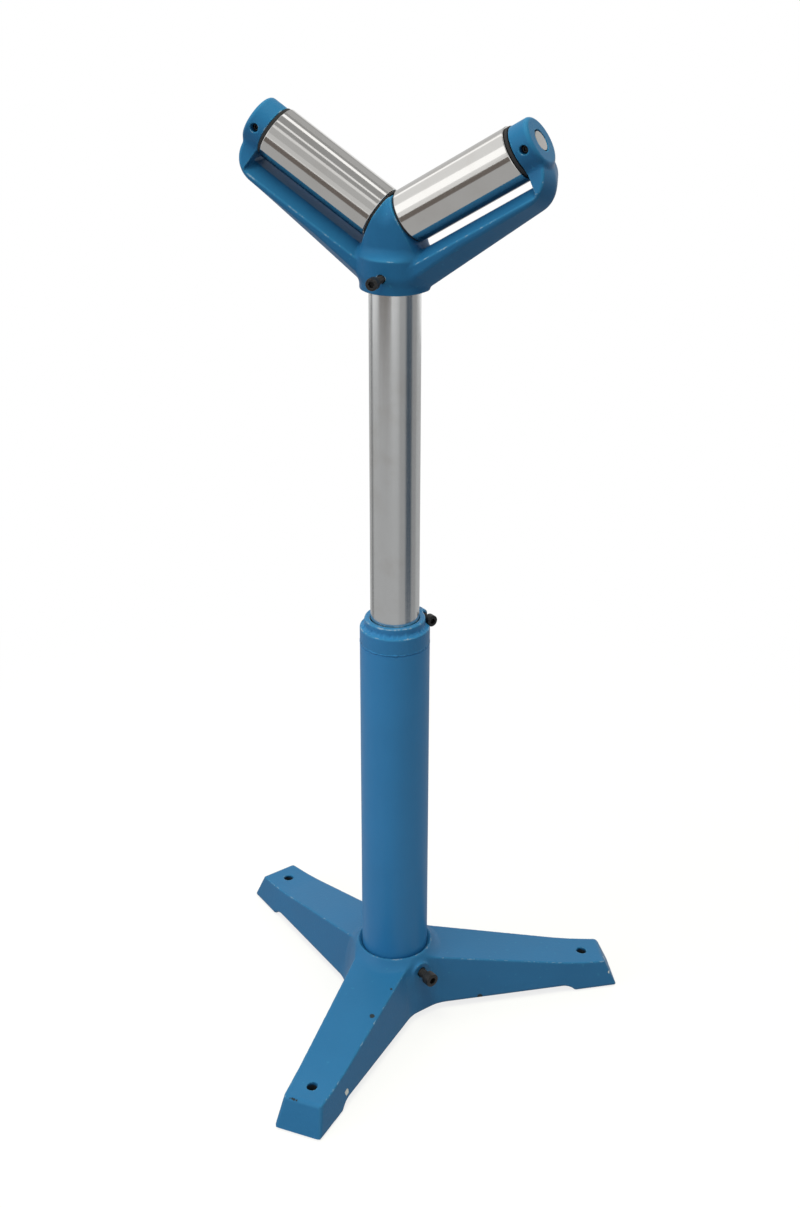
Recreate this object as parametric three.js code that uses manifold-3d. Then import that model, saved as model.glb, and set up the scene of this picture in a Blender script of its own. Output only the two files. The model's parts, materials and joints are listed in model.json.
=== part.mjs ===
// Height-adjustable V-roller stand: a cast three-legged base, a steel column with a clamp collar,
// a sliding post, and a cast fork that carries two ball-bearing rollers in a V.
// Millimetres, +Z up. The V lies along X, and one leg points along -Y.
// The origin is on the floor, at the middle of the footprint.
import * as THREE from 'three';
import { mergeVertices } from 'three/addons/utils/BufferGeometryUtils.js';
import Module from 'manifold-3d';

const wasm = await Module();
wasm.setup();

// Clearances
const seatGap = 0.3;
const slideGap = 0.4;
const endFloat = 0.5;
const cutPast = 2;

// Base casting: sizes along a leg are measured out from the column axis
const legCount = 3;
const legReach = 266;
const legRootHalf = 48;
const legTipHalf = 27.75;
const legDraft = 0.19;
const legRidge = 74;
const crotchFoot = 48;
const crotchTop = 10;
const footHeight = 34;
const footPad = 52;
const footTop = 27;
const footEndLean = 15.4;
const skirtLift = 7;
const skirtRamp = 7;
const castWall = 8;
const socketHeight = 76;
const socketWall = 12;
const socketFlare = 3;
const socketRim = 7;
const socketShoulder = 10;
const socketFloor = 12;
const socketLip = 3.8;
const drainRadius = 30;
const boltHoleRadius = 5.75;
const boltInset = 39;

// Column tube and clamp collar
const tubeRadius = 38;
const tubeWall = 5;
const tubeLength = 455;
const flangeHeight = 17.4;
const flangeRound = 3;
const ringRadius = 33;
const ringHeight = 11.4;
const ringChamfer = 2.5;
const spigotDepth = 20;
const weldGroove = 2;
const slitWidth = 2.4;
const earAngle = 60;
const earReach = 40.5;
const earScrewOut = 35.6;
const earHalf = 6;
const earDepth = 16;

// Post and its guide
const postRadius = 26.6;
const postWall = 4;
const postLength = 512;
const liftLeft = 27.8;
const neckRadius = 25;
const neckLength = 36;
const bushHeight = 30;
const circlipWidth = 1.75;
const circlipReach = 3.5;
const circlipBite = 1.2;

// Cast fork
const veeAngle = 32;
const hubRadius = 35.5;
const hubHeight = 34;
const hubSocket = 38;
const crossingHeight = 62.6;
const finFace = 16.5;
const finHalf = 27.5;
const finFootRadius = 32;
const finFlareHeight = 12;
const finFlat = 1.2;
const armGap = 6.5;
const armHalf = 20.5;
const armRound = 19.5;
const armEdge = 10.5;
const armKeel = 1;
const armRootDepth = 35;
const armTipDepth = 23;
const armCorner = 38;
const lugThick = 16;
const lugRound = 3;
const bossProud = 5;
const bossRadius = 25;
const bossEdge = 1.5;

// Rollers, axles and bearings
const rollerRadius = 27.5;
const rollerLength = 129.3;
const rollerChamfer = 1;
const bearingOuter = 23.5;
const bearingBore = 10;
const bearingWidth = 14;
const bearingInset = 2;
const raceWall = 4.2;
const ballRadius = 3.9;
const ballCount = 8;
const cageHalf = 1.1;
const axleRadius = 10;
const axleSeat = 8.5;
const axleChamfer = 1;
const innerSealThick = 2;
const outerSealThick = 3.2;
const sealInset = 1.5;
const sealBore = 14.6;
const spacerWall = 3;

// Screws
const screwRadius = 4;
const baseScrewRadius = 5;
const screwHeadShare = 1.6;
const keyShare = 1.5;
const baseScrewDrop = 19;
const baseScrewAngle = -30;
const baseBossRadius = 12;
const baseBossFace = 52.5;
const baseScrewShown = 10.5;
const headScrewRise = 16.5;
const headScrewShown = 15;
const collarScrewShown = 7;
const earScrewSink = 2;
const grubLength = 9;

// Roundness
const fine = 34;
const medium = 26;
const coarse = 18;
const small = 14;
const hexagon = 6;

// Heights and places that follow from the sizes above
const radian = Math.PI / 180;
const legStep = 360 / legCount;
const firstLeg = -90;
const boltCircle = legReach - boltInset;
const legTaper = Math.atan((legRootHalf - legTipHalf) / legReach);
const rearLean = (firstLeg + legStep) * radian;
const rearReach = legReach * Math.sin(rearLean) + legTipHalf * Math.cos(rearLean);
const columnY = (legReach - rearReach) / 2;
const baseScrewHeight = socketHeight - baseScrewDrop;
const boreRadius = tubeRadius + seatGap;
const tubeBore = tubeRadius - tubeWall;
const tubeBottom = socketFloor + seatGap;
const tubeTop = tubeBottom + tubeLength;
const flangeBottom = tubeTop + seatGap;
const flangeTop = flangeBottom + flangeHeight;
const collarTop = flangeTop + ringHeight;
const bushTop = flangeBottom - spigotDepth - liftLeft;
const neckTop = bushTop + seatGap;
const postBottom = neckTop - neckLength;
const postTop = postBottom + postLength;
const hubBottom = postTop + seatGap - hubSocket;
const crossing = hubBottom + crossingHeight;
const vee = veeAngle * radian;
const rollerStart = finFace + endFloat + innerSealThick + seatGap;
const rollerEnd = rollerStart + rollerLength;
const lugInner = rollerEnd + seatGap + outerSealThick + endFloat;
const lugOuter = lugInner + lugThick;
const bossFace = lugOuter + bossProud;
const armInner = rollerRadius + armGap;
const axleInner = finFace - axleSeat;
const screwHole = screwRadius + seatGap;
const screwHeadRadius = screwRadius * screwHeadShare;
const earScrewHeight = collarTop - screwHeadRadius - earScrewSink;

// Finishes
const finish = (color, roughness, metalness) =>
  new THREE.MeshStandardMaterial({ color, roughness, metalness });
const bluePaint = finish(0x3876aa, 0.35, 0);
const polishedSteel = finish(0xcfd2d4, 0.15, 1);
const satinSteel = finish(0xb4b5b0, 0.3, 1);
const bearingSteel = finish(0xa9acb0, 0.2, 1);
const blackOxide = finish(0x17181a, 0.5, 0.6);
const blackRubber = finish(0x0f1011, 0.8, 0);
const nylon = finish(0xe4e0d2, 0.6, 0);

// A closed geometry becomes a solid that can be joined and cut
function solidOf(geometry) {
  const bare = geometry.index ? geometry.toNonIndexed() : geometry.clone();
  bare.deleteAttribute('normal');
  bare.deleteAttribute('uv');
  const merged = mergeVertices(bare);
  const corners = Float32Array.from(merged.attributes.position.array);
  const point = (i) => new THREE.Vector3().fromArray(corners, 3 * i);
  const faces = [];
  let volume = 0;
  for (let i = 0; i < merged.index.count; i += 3) {
    const [a, b, c] = merged.index.array.slice(i, i + 3);
    if (a === b || b === c || c === a) continue;
    faces.push([a, b, c]);
    volume += point(a).dot(point(b).cross(point(c)));
  }
  const facing = volume < 0 ? faces.map(([a, b, c]) => [a, c, b]) : faces;
  const triVerts = Uint32Array.from(facing.flat());
  return new wasm.Manifold(new wasm.Mesh({ numProp: 3, vertProperties: corners, triVerts }));
}

function geometryOf(solid) {
  const { numProp, vertProperties, triVerts } = solid.getMesh();
  const geometry = new THREE.BufferGeometry();
  const position = [];
  for (let i = 0; i < vertProperties.length; i += numProp) {
    position.push(vertProperties[i], vertProperties[i + 1], vertProperties[i + 2]);
  }
  geometry.setAttribute('position', new THREE.Float32BufferAttribute(position, 3));
  geometry.setIndex(Array.from(triVerts));
  geometry.computeVertexNormals();
  return geometry;
}

const joined = (solids) => solids.reduce((sum, next) => sum.add(next));
const placed = (solid, matrix) => solid.transform(matrix.elements);

// Solid of revolution about Z from [radius, height] pairs; an outline off the axis closes into a ring
function revolved(outline, sides) {
  const points = outline.map(([r, z]) => new THREE.Vector2(r, z));
  const touchesAxis = outline[0][0] === 0 && outline.at(-1)[0] === 0;
  if (!touchesAxis) points.push(points[0].clone());
  const geometry = new THREE.LatheGeometry(points, sides);
  geometry.rotateX(Math.PI / 2);
  return solidOf(geometry);
}

const rod = (radius, low, high, sides) =>
  revolved([[0, low], [radius, low], [radius, high], [0, high]], sides);

const sleeve = (inner, outer, low, high, sides) =>
  revolved([[inner, low], [outer, low], [outer, high], [inner, high]], sides);

// Outline drawn with x along `along` and y along `up`, given an equal thickness to both sides
function slab(shape, halfWidth, along, up, origin, bevel = {}) {
  const { round = 0, edge = 0 } = bevel;
  const depth = 2 * (halfWidth - round);
  const geometry = new THREE.ExtrudeGeometry(shape, {
    depth,
    curveSegments: 6,
    bevelEnabled: round > 0,
    bevelThickness: round,
    bevelSize: edge,
    bevelOffset: -edge,
    bevelSegments: 2,
  });
  geometry.translate(0, 0, -depth / 2);
  const across = new THREE.Vector3().crossVectors(along, up);
  const matrix = new THREE.Matrix4().makeBasis(along, up, across).setPosition(origin);
  return solidOf(geometry.applyMatrix4(matrix));
}

const outlineShape = (points) => new THREE.Shape(points.map(([x, y]) => new THREE.Vector2(x, y)));
const upward = new THREE.Vector3(0, 0, 1);
const columnAxis = new THREE.Vector3(0, 0, 0);
const heading = (angle) => new THREE.Vector3(Math.cos(angle * radian), Math.sin(angle * radian), 0);

// Places a solid made along Z so that its axis starts at `from` and runs towards `direction`
function aimed(direction, from) {
  const turn = new THREE.Quaternion().setFromUnitVectors(upward, direction);
  return new THREE.Matrix4().makeRotationFromQuaternion(turn).setPosition(from);
}

// Ruled solid between two outlines with the same number of points
function ruled(lower, lowZ, upper, highZ) {
  const count = lower.length;
  const ring = (outline, z) => outline.flatMap(({ x, y }) => [x, y, z]);
  const index = [];
  for (let i = 0; i < count; i += 1) {
    const next = (i + 1) % count;
    index.push(i, next, count + next, i, count + next, count + i);
  }
  const foot = THREE.ShapeUtils.triangulateShape(lower, []);
  const top = THREE.ShapeUtils.triangulateShape(upper, []);
  foot.forEach(([a, b, c]) => index.push(a, c, b));
  top.forEach(([a, b, c]) => index.push(count + a, count + b, count + c));
  const geometry = new THREE.BufferGeometry();
  const position = [...ring(lower, lowZ), ...ring(upper, highZ)];
  geometry.setAttribute('position', new THREE.Float32BufferAttribute(position, 3));
  geometry.setIndex(index);
  return solidOf(geometry);
}

// Plan of the base: tapering legs drawn in by `inset`, with a round crotch between each two
function starOutline(inset, fillet) {
  const spread = (legStep / 2) * radian;
  const side = legRootHalf * Math.cos(legTaper) - inset;
  const reach = (fillet + side) / Math.sin(spread + legTaper);
  const centre = new THREE.Vector2(reach * Math.cos(spread), reach * Math.sin(spread));
  const tipU = legReach + cutPast;
  const tipHalf = legRootHalf - tipU * Math.tan(legTaper) - inset / Math.cos(legTaper);
  const arcFrom = 1.5 * Math.PI - legTaper;
  const arcTo = Math.PI + 2 * spread - Math.PI / 2 + legTaper;
  const arcSteps = 8;
  const points = [];
  for (let leg = 0; leg < legCount; leg += 1) {
    const turn = (firstLeg + leg * legStep) * radian;
    const add = (x, y) => points.push(new THREE.Vector2(x, y).rotateAround(new THREE.Vector2(), turn));
    add(tipU, -tipHalf);
    add(tipU, tipHalf);
    for (let i = 0; i <= arcSteps; i += 1) {
      const angle = arcFrom + ((arcTo - arcFrom) * i) / arcSteps;
      add(centre.x + fillet * Math.cos(angle), centre.y + fillet * Math.sin(angle));
    }
  }
  return points;
}

// The crotch narrows towards the top, so the socket stands free between the legs
const crotchAt = (z) => crotchFoot + ((crotchTop - crotchFoot) * z) / socketHeight;
const starAt = (inset, z) => starOutline(inset + legDraft * z, inset + crotchAt(z));
const star = (inset, low, high) => ruled(starAt(inset, low), low, starAt(inset, high), high);

const legAngles = Array.from({ length: legCount }, (_, leg) => firstLeg + leg * legStep);

// The same side view swept across each leg, kept to that leg's share of the plan
function legSlabs(sideView) {
  const spread = (legStep / 2) * radian;
  const reach = (legReach + 2 * cutPast) / Math.cos(spread);
  const share = outlineShape([
    [-cutPast, 0],
    [reach * Math.cos(spread) - cutPast, -reach * Math.sin(spread)],
    [reach * Math.cos(spread) - cutPast, reach * Math.sin(spread)],
  ]);
  return joined(legAngles.map((angle) => {
    const out = heading(angle);
    const swept = slab(outlineShape(sideView), legReach / 2, out, upward, columnAxis);
    return swept.intersect(slab(share, 2 * socketHeight, out, heading(angle + 90), columnAxis));
  }));
}

function baseCasting() {
  const padInner = legReach - footPad;
  const endTop = legReach - footEndLean;
  const kink = endTop - footTop;
  const ridge = (u) => legRidge + ((footHeight - legRidge) * u) / kink;
  const outside = legSlabs([
    [0, skirtLift],
    [padInner - skirtRamp, skirtLift],
    [padInner, 0],
    [legReach, 0],
    [endTop, footHeight],
    [kink, footHeight],
    [0, legRidge],
  ]);
  const hollowEnd = padInner - skirtRamp - castWall;
  const inside = legSlabs([
    [0, -cutPast],
    [hollowEnd, -cutPast],
    [hollowEnd, ridge(hollowEnd) - castWall],
    [0, legRidge - castWall],
  ]);
  const shell = star(0, 0, socketHeight).intersect(outside);
  const hollow = star(castWall, -cutPast, socketHeight).intersect(inside);
  const socketRadius = boreRadius + socketWall;
  const rimRadius = boreRadius + socketRim;
  const rimMiddle = (rimRadius + socketRadius) / 2;
  const socket = revolved([
    [0, skirtLift],
    [socketRadius + socketFlare, skirtLift],
    [socketRadius, socketHeight - socketShoulder],
    [rimMiddle, socketHeight - socketShoulder / 4],
    [rimRadius, socketHeight],
    [0, socketHeight],
  ], fine);
  const bore = revolved([
    [0, -cutPast],
    [drainRadius, -cutPast],
    [drainRadius, socketFloor],
    [boreRadius, socketFloor],
    [boreRadius, socketHeight - socketLip],
    [boreRadius + socketLip, socketHeight],
    [boreRadius + socketLip, socketHeight + cutPast],
    [0, socketHeight + cutPast],
  ], fine);
  const screwLine = aimed(heading(baseScrewAngle), new THREE.Vector3(0, 0, baseScrewHeight));
  const pad = new THREE.Shape();
  pad.moveTo(-baseBossRadius, skirtLift);
  pad.lineTo(baseBossRadius, skirtLift);
  pad.absarc(0, baseScrewHeight, baseBossRadius, 0, Math.PI, false);
  const padDepth = (baseBossFace - tubeRadius) / 2;
  const padMiddle = heading(baseScrewAngle).multiplyScalar(baseBossFace - padDepth);
  const boss = slab(pad, padDepth, heading(baseScrewAngle + 90), upward, padMiddle);
  const screwWay = placed(rod(baseScrewRadius + seatGap, 0, baseBossFace + cutPast, small), screwLine);
  const boltHoles = legAngles.map((angle) => {
    const place = heading(angle).multiplyScalar(boltCircle);
    const hole = rod(boltHoleRadius, -cutPast, footHeight + cutPast, small);
    return placed(hole, new THREE.Matrix4().setPosition(place));
  });
  return shell.subtract(hollow).add(socket).add(boss).subtract(bore).subtract(screwWay)
    .subtract(joined(boltHoles));
}

function columnTube() {
  return revolved([
    [tubeBore, tubeBottom],
    [tubeRadius, tubeBottom],
    [tubeRadius, tubeTop - weldGroove],
    [tubeRadius - weldGroove, tubeTop],
    [tubeBore, tubeTop],
  ], fine);
}

function collarWeld() {
  const middle = (tubeTop + flangeBottom) / 2;
  const half = weldGroove + seatGap / 2 - 2 * seatGap;
  return revolved([
    [tubeRadius - weldGroove + 2 * seatGap, middle],
    [tubeRadius + seatGap, middle - half],
    [tubeRadius + 2 * seatGap, middle],
    [tubeRadius + seatGap, middle + half],
  ], fine);
}

// Flange on the tube, spigot inside it, and a split ring with an ear for the pinch screw
function columnCollar() {
  const bore = postRadius + slideGap;
  const roundStep = flangeRound * (1 - Math.SQRT1_2);
  const body = revolved([
    [bore, flangeBottom - spigotDepth],
    [tubeBore - seatGap, flangeBottom - spigotDepth],
    [tubeBore - seatGap, flangeBottom],
    [tubeRadius - weldGroove, flangeBottom],
    [tubeRadius, flangeBottom + weldGroove],
    [tubeRadius, flangeTop - flangeRound],
    [tubeRadius - roundStep, flangeTop - roundStep],
    [tubeRadius - flangeRound, flangeTop],
    [ringRadius, flangeTop],
    [ringRadius, collarTop - ringChamfer],
    [ringRadius - ringChamfer, collarTop],
    [bore, collarTop],
  ], fine);
  const outward = heading(earAngle);
  const screwWay = heading(earAngle - 90);
  const earShape = outlineShape([
    [bore + tubeWall / 2, collarTop - earDepth],
    [earReach, collarTop - earDepth],
    [earReach, collarTop - ringChamfer],
    [earReach - ringChamfer, collarTop],
    [bore + tubeWall / 2, collarTop],
  ]);
  const ear = slab(earShape, earHalf, outward, upward, columnAxis);
  const slitShape = outlineShape([
    [postRadius / 2, flangeTop - earDepth / 2],
    [earReach + cutPast, flangeTop - earDepth / 2],
    [earReach + cutPast, collarTop + cutPast],
    [postRadius / 2, collarTop + cutPast],
  ]);
  const slit = slab(slitShape, slitWidth / 2, outward, upward, columnAxis);
  const holeStart = outward.clone().multiplyScalar(earScrewOut).setZ(earScrewHeight);
  const hole = rod(screwHole, -tubeRadius, tubeRadius, small);
  const headRoom = rod(screwHeadRadius + endFloat, earHalf, tubeRadius, coarse);
  const screwCut = placed(hole.add(headRoom), aimed(screwWay, holeStart));
  return body.add(ear).subtract(slit).subtract(screwCut);
}

function postTube() {
  const bore = postRadius - postWall;
  const clipTop = neckTop - bushHeight - 2 * seatGap;
  const clipBottom = clipTop - circlipWidth - 2 * seatGap;
  return revolved([
    [bore, postBottom],
    [neckRadius, postBottom],
    [neckRadius, clipBottom],
    [neckRadius - circlipBite, clipBottom],
    [neckRadius - circlipBite, clipTop],
    [neckRadius, clipTop],
    [neckRadius, neckTop],
    [postRadius, neckTop],
    [postRadius, postTop],
    [bore, postTop],
  ], fine);
}

function postGuideBush() {
  return sleeve(neckRadius + seatGap, tubeBore - slideGap, bushTop - bushHeight, bushTop, fine);
}

// Open ring in the post's groove, under the bush
function guideCirclip() {
  const top = bushTop - bushHeight - 2 * seatGap;
  const inner = neckRadius - circlipBite + seatGap;
  const ring = sleeve(inner, inner + circlipReach, top - circlipWidth, top, medium);
  const mouth = outlineShape([
    [0, top - circlipWidth - cutPast],
    [tubeBore, top - circlipWidth - cutPast],
    [tubeBore, top + cutPast],
    [0, top + cutPast],
  ]);
  return ring.subtract(slab(mouth, circlipReach, heading(90), upward, columnAxis));
}

// Roller axes cross on the column axis and rise outwards; side is 1 on the right and -1 on the left
const rollerAxis = (side) => new THREE.Vector3(side * Math.cos(vee), 0, Math.sin(vee));
const rollerLine = (side) => aimed(rollerAxis(side), new THREE.Vector3(0, 0, crossing));

// Arm and lug, drawn with x along the roller's axis and y square to it, inside of the V upwards;
// the arm falls away to both sides of a blunt keel above and below
function forkArm(side) {
  const outerLow = armInner + armTipDepth;
  const rootLow = armInner + armRootDepth;
  const innerRound = armGap;
  const shape = new THREE.Shape();
  shape.moveTo(0, -armInner);
  shape.lineTo(lugInner - innerRound, -armInner);
  shape.quadraticCurveTo(lugInner, -armInner, lugInner, innerRound - armInner);
  shape.lineTo(lugInner, 0);
  shape.lineTo(lugOuter, 0);
  shape.lineTo(lugOuter, armCorner - outerLow);
  shape.quadraticCurveTo(lugOuter, -outerLow, lugOuter - armCorner, -outerLow);
  shape.lineTo(0, -rootLow);
  const along = rollerAxis(side);
  const up = new THREE.Vector3(-side * Math.sin(vee), 0, Math.cos(vee));
  const start = new THREE.Vector3(0, 0, crossing);
  const blank = slab(shape, armHalf, along, up, start, { round: lugRound, edge: lugRound });
  const lowAt = (t) => rootLow + ((outerLow - rootLow) * t) / (lugOuter - armCorner) + armKeel;
  const past = lugOuter + armCorner;
  const lugSide = lugInner - armEdge - armKeel;
  const hull = outlineShape([
    [-armCorner, armKeel - armInner],
    [lugSide, armKeel - armInner],
    [lugSide, armKeel],
    [past, armKeel],
    [past, -lowAt(past)],
    [-armCorner, -lowAt(-armCorner)],
  ]);
  const bevel = { round: armRound + seatGap, edge: armEdge };
  const arm = blank.intersect(slab(hull, armHalf + seatGap, along, up, start, bevel));
  const plate = new THREE.Shape();
  plate.absarc(0, 0, bossRadius - bossEdge, 0, Math.PI, false);
  plate.lineTo(-armHalf, armCorner - outerLow);
  plate.lineTo(armHalf, armCorner - outerLow);
  const lugCentre = along.clone().multiplyScalar((lugInner + lugOuter) / 2).add(start);
  const lug = slab(plate, lugThick / 2, heading(90), up, lugCentre, { round: lugRound, edge: lugRound });
  const boss = revolved([
    [0, lugInner],
    [bossRadius, lugInner],
    [bossRadius, bossFace - bossEdge],
    [bossRadius - bossEdge, bossFace],
    [0, bossFace],
  ], medium);
  return joined([arm, lug, placed(boss, rollerLine(side))]);
}

// Wedge between the rollers' inner ends, with a round top, that spreads into the hub
function forkFin() {
  const apex = crossing + finFace / Math.sin(vee);
  const foot = hubBottom + hubHeight / 2;
  const waist = crossing + finFace * Math.sin(vee) - armInner * Math.cos(vee);
  const footHalf = finFace * Math.cos(vee) + armInner * Math.sin(vee);
  const wedge = outlineShape([
    [-footHalf, foot],
    [footHalf, foot],
    [footHalf, waist],
    [finFlat, apex - finFlat / Math.tan(vee)],
    [-finFlat, apex - finFlat / Math.tan(vee)],
    [-footHalf, waist],
  ]);
  const discHeight = crossing + finFace * Math.sin(vee);
  const crown = new THREE.Shape();
  const hubTop = hubBottom + hubHeight;
  crown.moveTo(-finFootRadius, foot);
  crown.lineTo(finFootRadius, foot);
  crown.lineTo(finFootRadius, hubTop);
  crown.quadraticCurveTo(finHalf, hubTop, finHalf, hubTop + finFlareHeight);
  crown.lineTo(finHalf, discHeight);
  crown.absellipse(0, discHeight, finHalf, finHalf * Math.cos(vee), 0, Math.PI, false, 0);
  crown.lineTo(-finHalf, hubTop + finFlareHeight);
  crown.quadraticCurveTo(-finHalf, hubTop, -finFootRadius, hubTop);
  const front = slab(wedge, 2 * finFootRadius, heading(0), upward, columnAxis);
  const profile = slab(crown, 2 * footHalf, heading(90), upward, columnAxis);
  return front.intersect(profile).intersect(rod(finFootRadius, foot, apex, fine));
}

function headCasting() {
  const hub = rod(hubRadius, hubBottom, hubBottom + hubHeight, fine);
  const body = joined([hub, forkFin(), forkArm(1), forkArm(-1)]);
  const socket = rod(postRadius + seatGap, hubBottom - cutPast, hubBottom + hubSocket, fine);
  const axleHole = rod(axleRadius + seatGap, axleInner - seatGap, bossFace + cutPast, medium);
  const lugMiddle = (lugInner + bossFace) / 2;
  const front = heading(firstLeg);
  const grubHoles = [1, -1].map((side) => {
    const start = rollerAxis(side).multiplyScalar(lugMiddle);
    start.z += crossing;
    return placed(rod(screwHole, 0, bossRadius + cutPast, small), aimed(front, start));
  });
  const screwStart = new THREE.Vector3(0, 0, hubBottom + headScrewRise);
  const screwWay = placed(rod(screwHole, 0, hubRadius + cutPast, small), aimed(front, screwStart));
  const axleHoles = [1, -1].map((side) => placed(axleHole, rollerLine(side)));
  return body.subtract(joined([socket, ...axleHoles, ...grubHoles, screwWay]));
}

// Six-sided key socket in the end of a screw
const keySocket = (radius, top) =>
  rod((radius * keyShare) / Math.sqrt(3), top - radius, top + cutPast, hexagon);

// Socket-head cap screw along Z: its tip at `tip`, the underside of its head at `seat`
function capScrew(radius, tip, seat) {
  const headRadius = radius * screwHeadShare;
  const top = seat + 2 * radius;
  const edge = seatGap * 2;
  const blank = revolved([
    [0, tip],
    [radius - edge, tip],
    [radius, tip + edge],
    [radius, seat],
    [headRadius, seat],
    [headRadius, top - edge],
    [headRadius - edge, top],
    [0, top],
  ], coarse);
  return blank.subtract(keySocket(radius, top));
}

// Headless screw that locks an axle: its tip at `tip`, its keyed end outwards
function grubScrew(tip) {
  const top = tip + grubLength;
  return rod(screwRadius, tip, top, small).subtract(keySocket(screwRadius / 1.5, top));
}

function rollerShell() {
  const inner = bearingOuter + seatGap;
  return revolved([
    [inner, rollerStart],
    [rollerRadius - rollerChamfer, rollerStart],
    [rollerRadius, rollerStart + rollerChamfer],
    [rollerRadius, rollerEnd - rollerChamfer],
    [rollerRadius - rollerChamfer, rollerEnd],
    [inner, rollerEnd],
  ], fine);
}

function axle() {
  const outer = bossFace - seatGap;
  return revolved([
    [0, axleInner],
    [axleRadius - axleChamfer, axleInner],
    [axleRadius, axleInner + axleChamfer],
    [axleRadius, outer - axleChamfer],
    [axleRadius - axleChamfer, outer],
    [0, outer],
  ], medium);
}

// Ball bearing between `low` and `low + bearingWidth`: grooved races and a cage with its balls
const ballCircle = (bearingBore + bearingOuter) / 2;

function outerRace(low) {
  const high = low + bearingWidth;
  const middle = low + bearingWidth / 2;
  const lip = bearingOuter - raceWall;
  return revolved([
    [bearingOuter, low],
    [bearingOuter, high],
    [lip, high],
    [lip, middle + ballRadius],
    [ballCircle + ballRadius + seatGap, middle],
    [lip, middle - ballRadius],
    [lip, low],
  ], coarse);
}

function innerRace(low) {
  const high = low + bearingWidth;
  const middle = low + bearingWidth / 2;
  const bore = bearingBore + seatGap;
  const lip = bearingBore + raceWall;
  return revolved([
    [bore, low],
    [lip, low],
    [lip, middle - ballRadius],
    [ballCircle - ballRadius - seatGap, middle],
    [lip, middle + ballRadius],
    [lip, high],
    [bore, high],
  ], coarse);
}

function ballCage(low) {
  const middle = low + bearingWidth / 2;
  const cageInner = ballCircle - cageHalf;
  const cageOuter = ballCircle + cageHalf;
  const ring = sleeve(cageInner, cageOuter, middle - cageHalf, middle + cageHalf, 2 * ballCount);
  const ball = solidOf(new THREE.SphereGeometry(ballRadius, 6, 3).translate(ballCircle, 0, middle));
  const turns = Array.from({ length: ballCount }, (_, i) => (2 * Math.PI * i) / ballCount);
  const balls = turns.map((turn) => placed(ball, new THREE.Matrix4().makeRotationZ(turn)));
  return joined([ring, ...balls]);
}

const endSeal = (low, high) => sleeve(sealBore, rollerRadius - sealInset, low, high, medium);
const spacer = (low, high) => sleeve(axleRadius + seatGap, axleRadius + spacerWall, low, high, small);

const stand = new THREE.Group();
stand.position.y = columnY;

function addPart(parent, name, solid, material) {
  const mesh = new THREE.Mesh(geometryOf(solid), material);
  mesh.name = name;
  parent.add(mesh);
}

addPart(stand, 'base_casting', baseCasting(), bluePaint);
addPart(stand, 'column_tube', columnTube(), bluePaint);
addPart(stand, 'column_collar', columnCollar(), bluePaint);
addPart(stand, 'collar_weld', collarWeld(), bluePaint);
addPart(stand, 'post_tube', postTube(), satinSteel);
addPart(stand, 'post_guide_bush', postGuideBush(), nylon);
addPart(stand, 'guide_circlip', guideCirclip(), blackOxide);
addPart(stand, 'head_casting', headCasting(), bluePaint);

// The three clamp screws
const baseScrew = capScrew(baseScrewRadius, tubeRadius + seatGap, baseBossFace + baseScrewShown);
const baseScrewLine = aimed(heading(baseScrewAngle), new THREE.Vector3(0, 0, baseScrewHeight));
addPart(stand, 'base_screw', placed(baseScrew, baseScrewLine), blackOxide);

const collarScrew = capScrew(screwRadius, seatGap - earHalf, earHalf + collarScrewShown);
const collarScrewStart = heading(earAngle).multiplyScalar(earScrewOut).setZ(earScrewHeight);
const collarScrewLine = aimed(heading(earAngle - 90), collarScrewStart);
addPart(stand, 'collar_screw', placed(collarScrew, collarScrewLine), blackOxide);

const headScrew = capScrew(screwRadius, postRadius + seatGap, hubRadius + headScrewShown);
const headScrewLine = aimed(heading(firstLeg), new THREE.Vector3(0, 0, hubBottom + headScrewRise));
addPart(stand, 'head_screw', placed(headScrew, headScrewLine), blackOxide);

// Both rollers with what turns in them and what holds them
const innerBearing = rollerStart + bearingInset;
const outerBearing = rollerEnd - bearingInset - bearingWidth;
const lugMiddle = (lugInner + bossFace) / 2;
const sides = { right: 1, left: -1 };
Object.entries(sides).forEach(([name, side]) => {
  const lane = new THREE.Group();
  lane.position.z = crossing;
  lane.quaternion.setFromUnitVectors(upward, rollerAxis(side));
  stand.add(lane);
  addPart(lane, `${name}_roller_shell`, rollerShell(), polishedSteel);
  addPart(lane, `${name}_axle`, axle(), satinSteel);
  const bearings = { inner: innerBearing, outer: outerBearing };
  Object.entries(bearings).forEach(([end, low]) => {
    addPart(lane, `${name}_${end}_bearing_outer_race`, outerRace(low), bearingSteel);
    addPart(lane, `${name}_${end}_bearing_inner_race`, innerRace(low), bearingSteel);
    addPart(lane, `${name}_${end}_bearing_cage`, ballCage(low), bearingSteel);
  });
  const innerSealLow = finFace + endFloat;
  const outerSealLow = rollerEnd + seatGap;
  addPart(lane, `${name}_inner_seal`, endSeal(innerSealLow, innerSealLow + innerSealThick), blackRubber);
  addPart(lane, `${name}_outer_seal`, endSeal(outerSealLow, outerSealLow + outerSealThick), blackRubber);
  const innerSpacer = spacer(finFace + seatGap, innerBearing - seatGap);
  const outerSpacer = spacer(outerBearing + bearingWidth + seatGap, lugInner - seatGap);
  addPart(lane, `${name}_inner_spacer`, innerSpacer, satinSteel);
  addPart(lane, `${name}_outer_spacer`, outerSpacer, satinSteel);
  const grubStart = rollerAxis(side).multiplyScalar(lugMiddle);
  grubStart.z += crossing;
  const grub = placed(grubScrew(axleRadius + seatGap), aimed(heading(firstLeg), grubStart));
  addPart(stand, `${name}_axle_set_screw`, grub, blackOxide);
});

export default stand;
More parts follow.
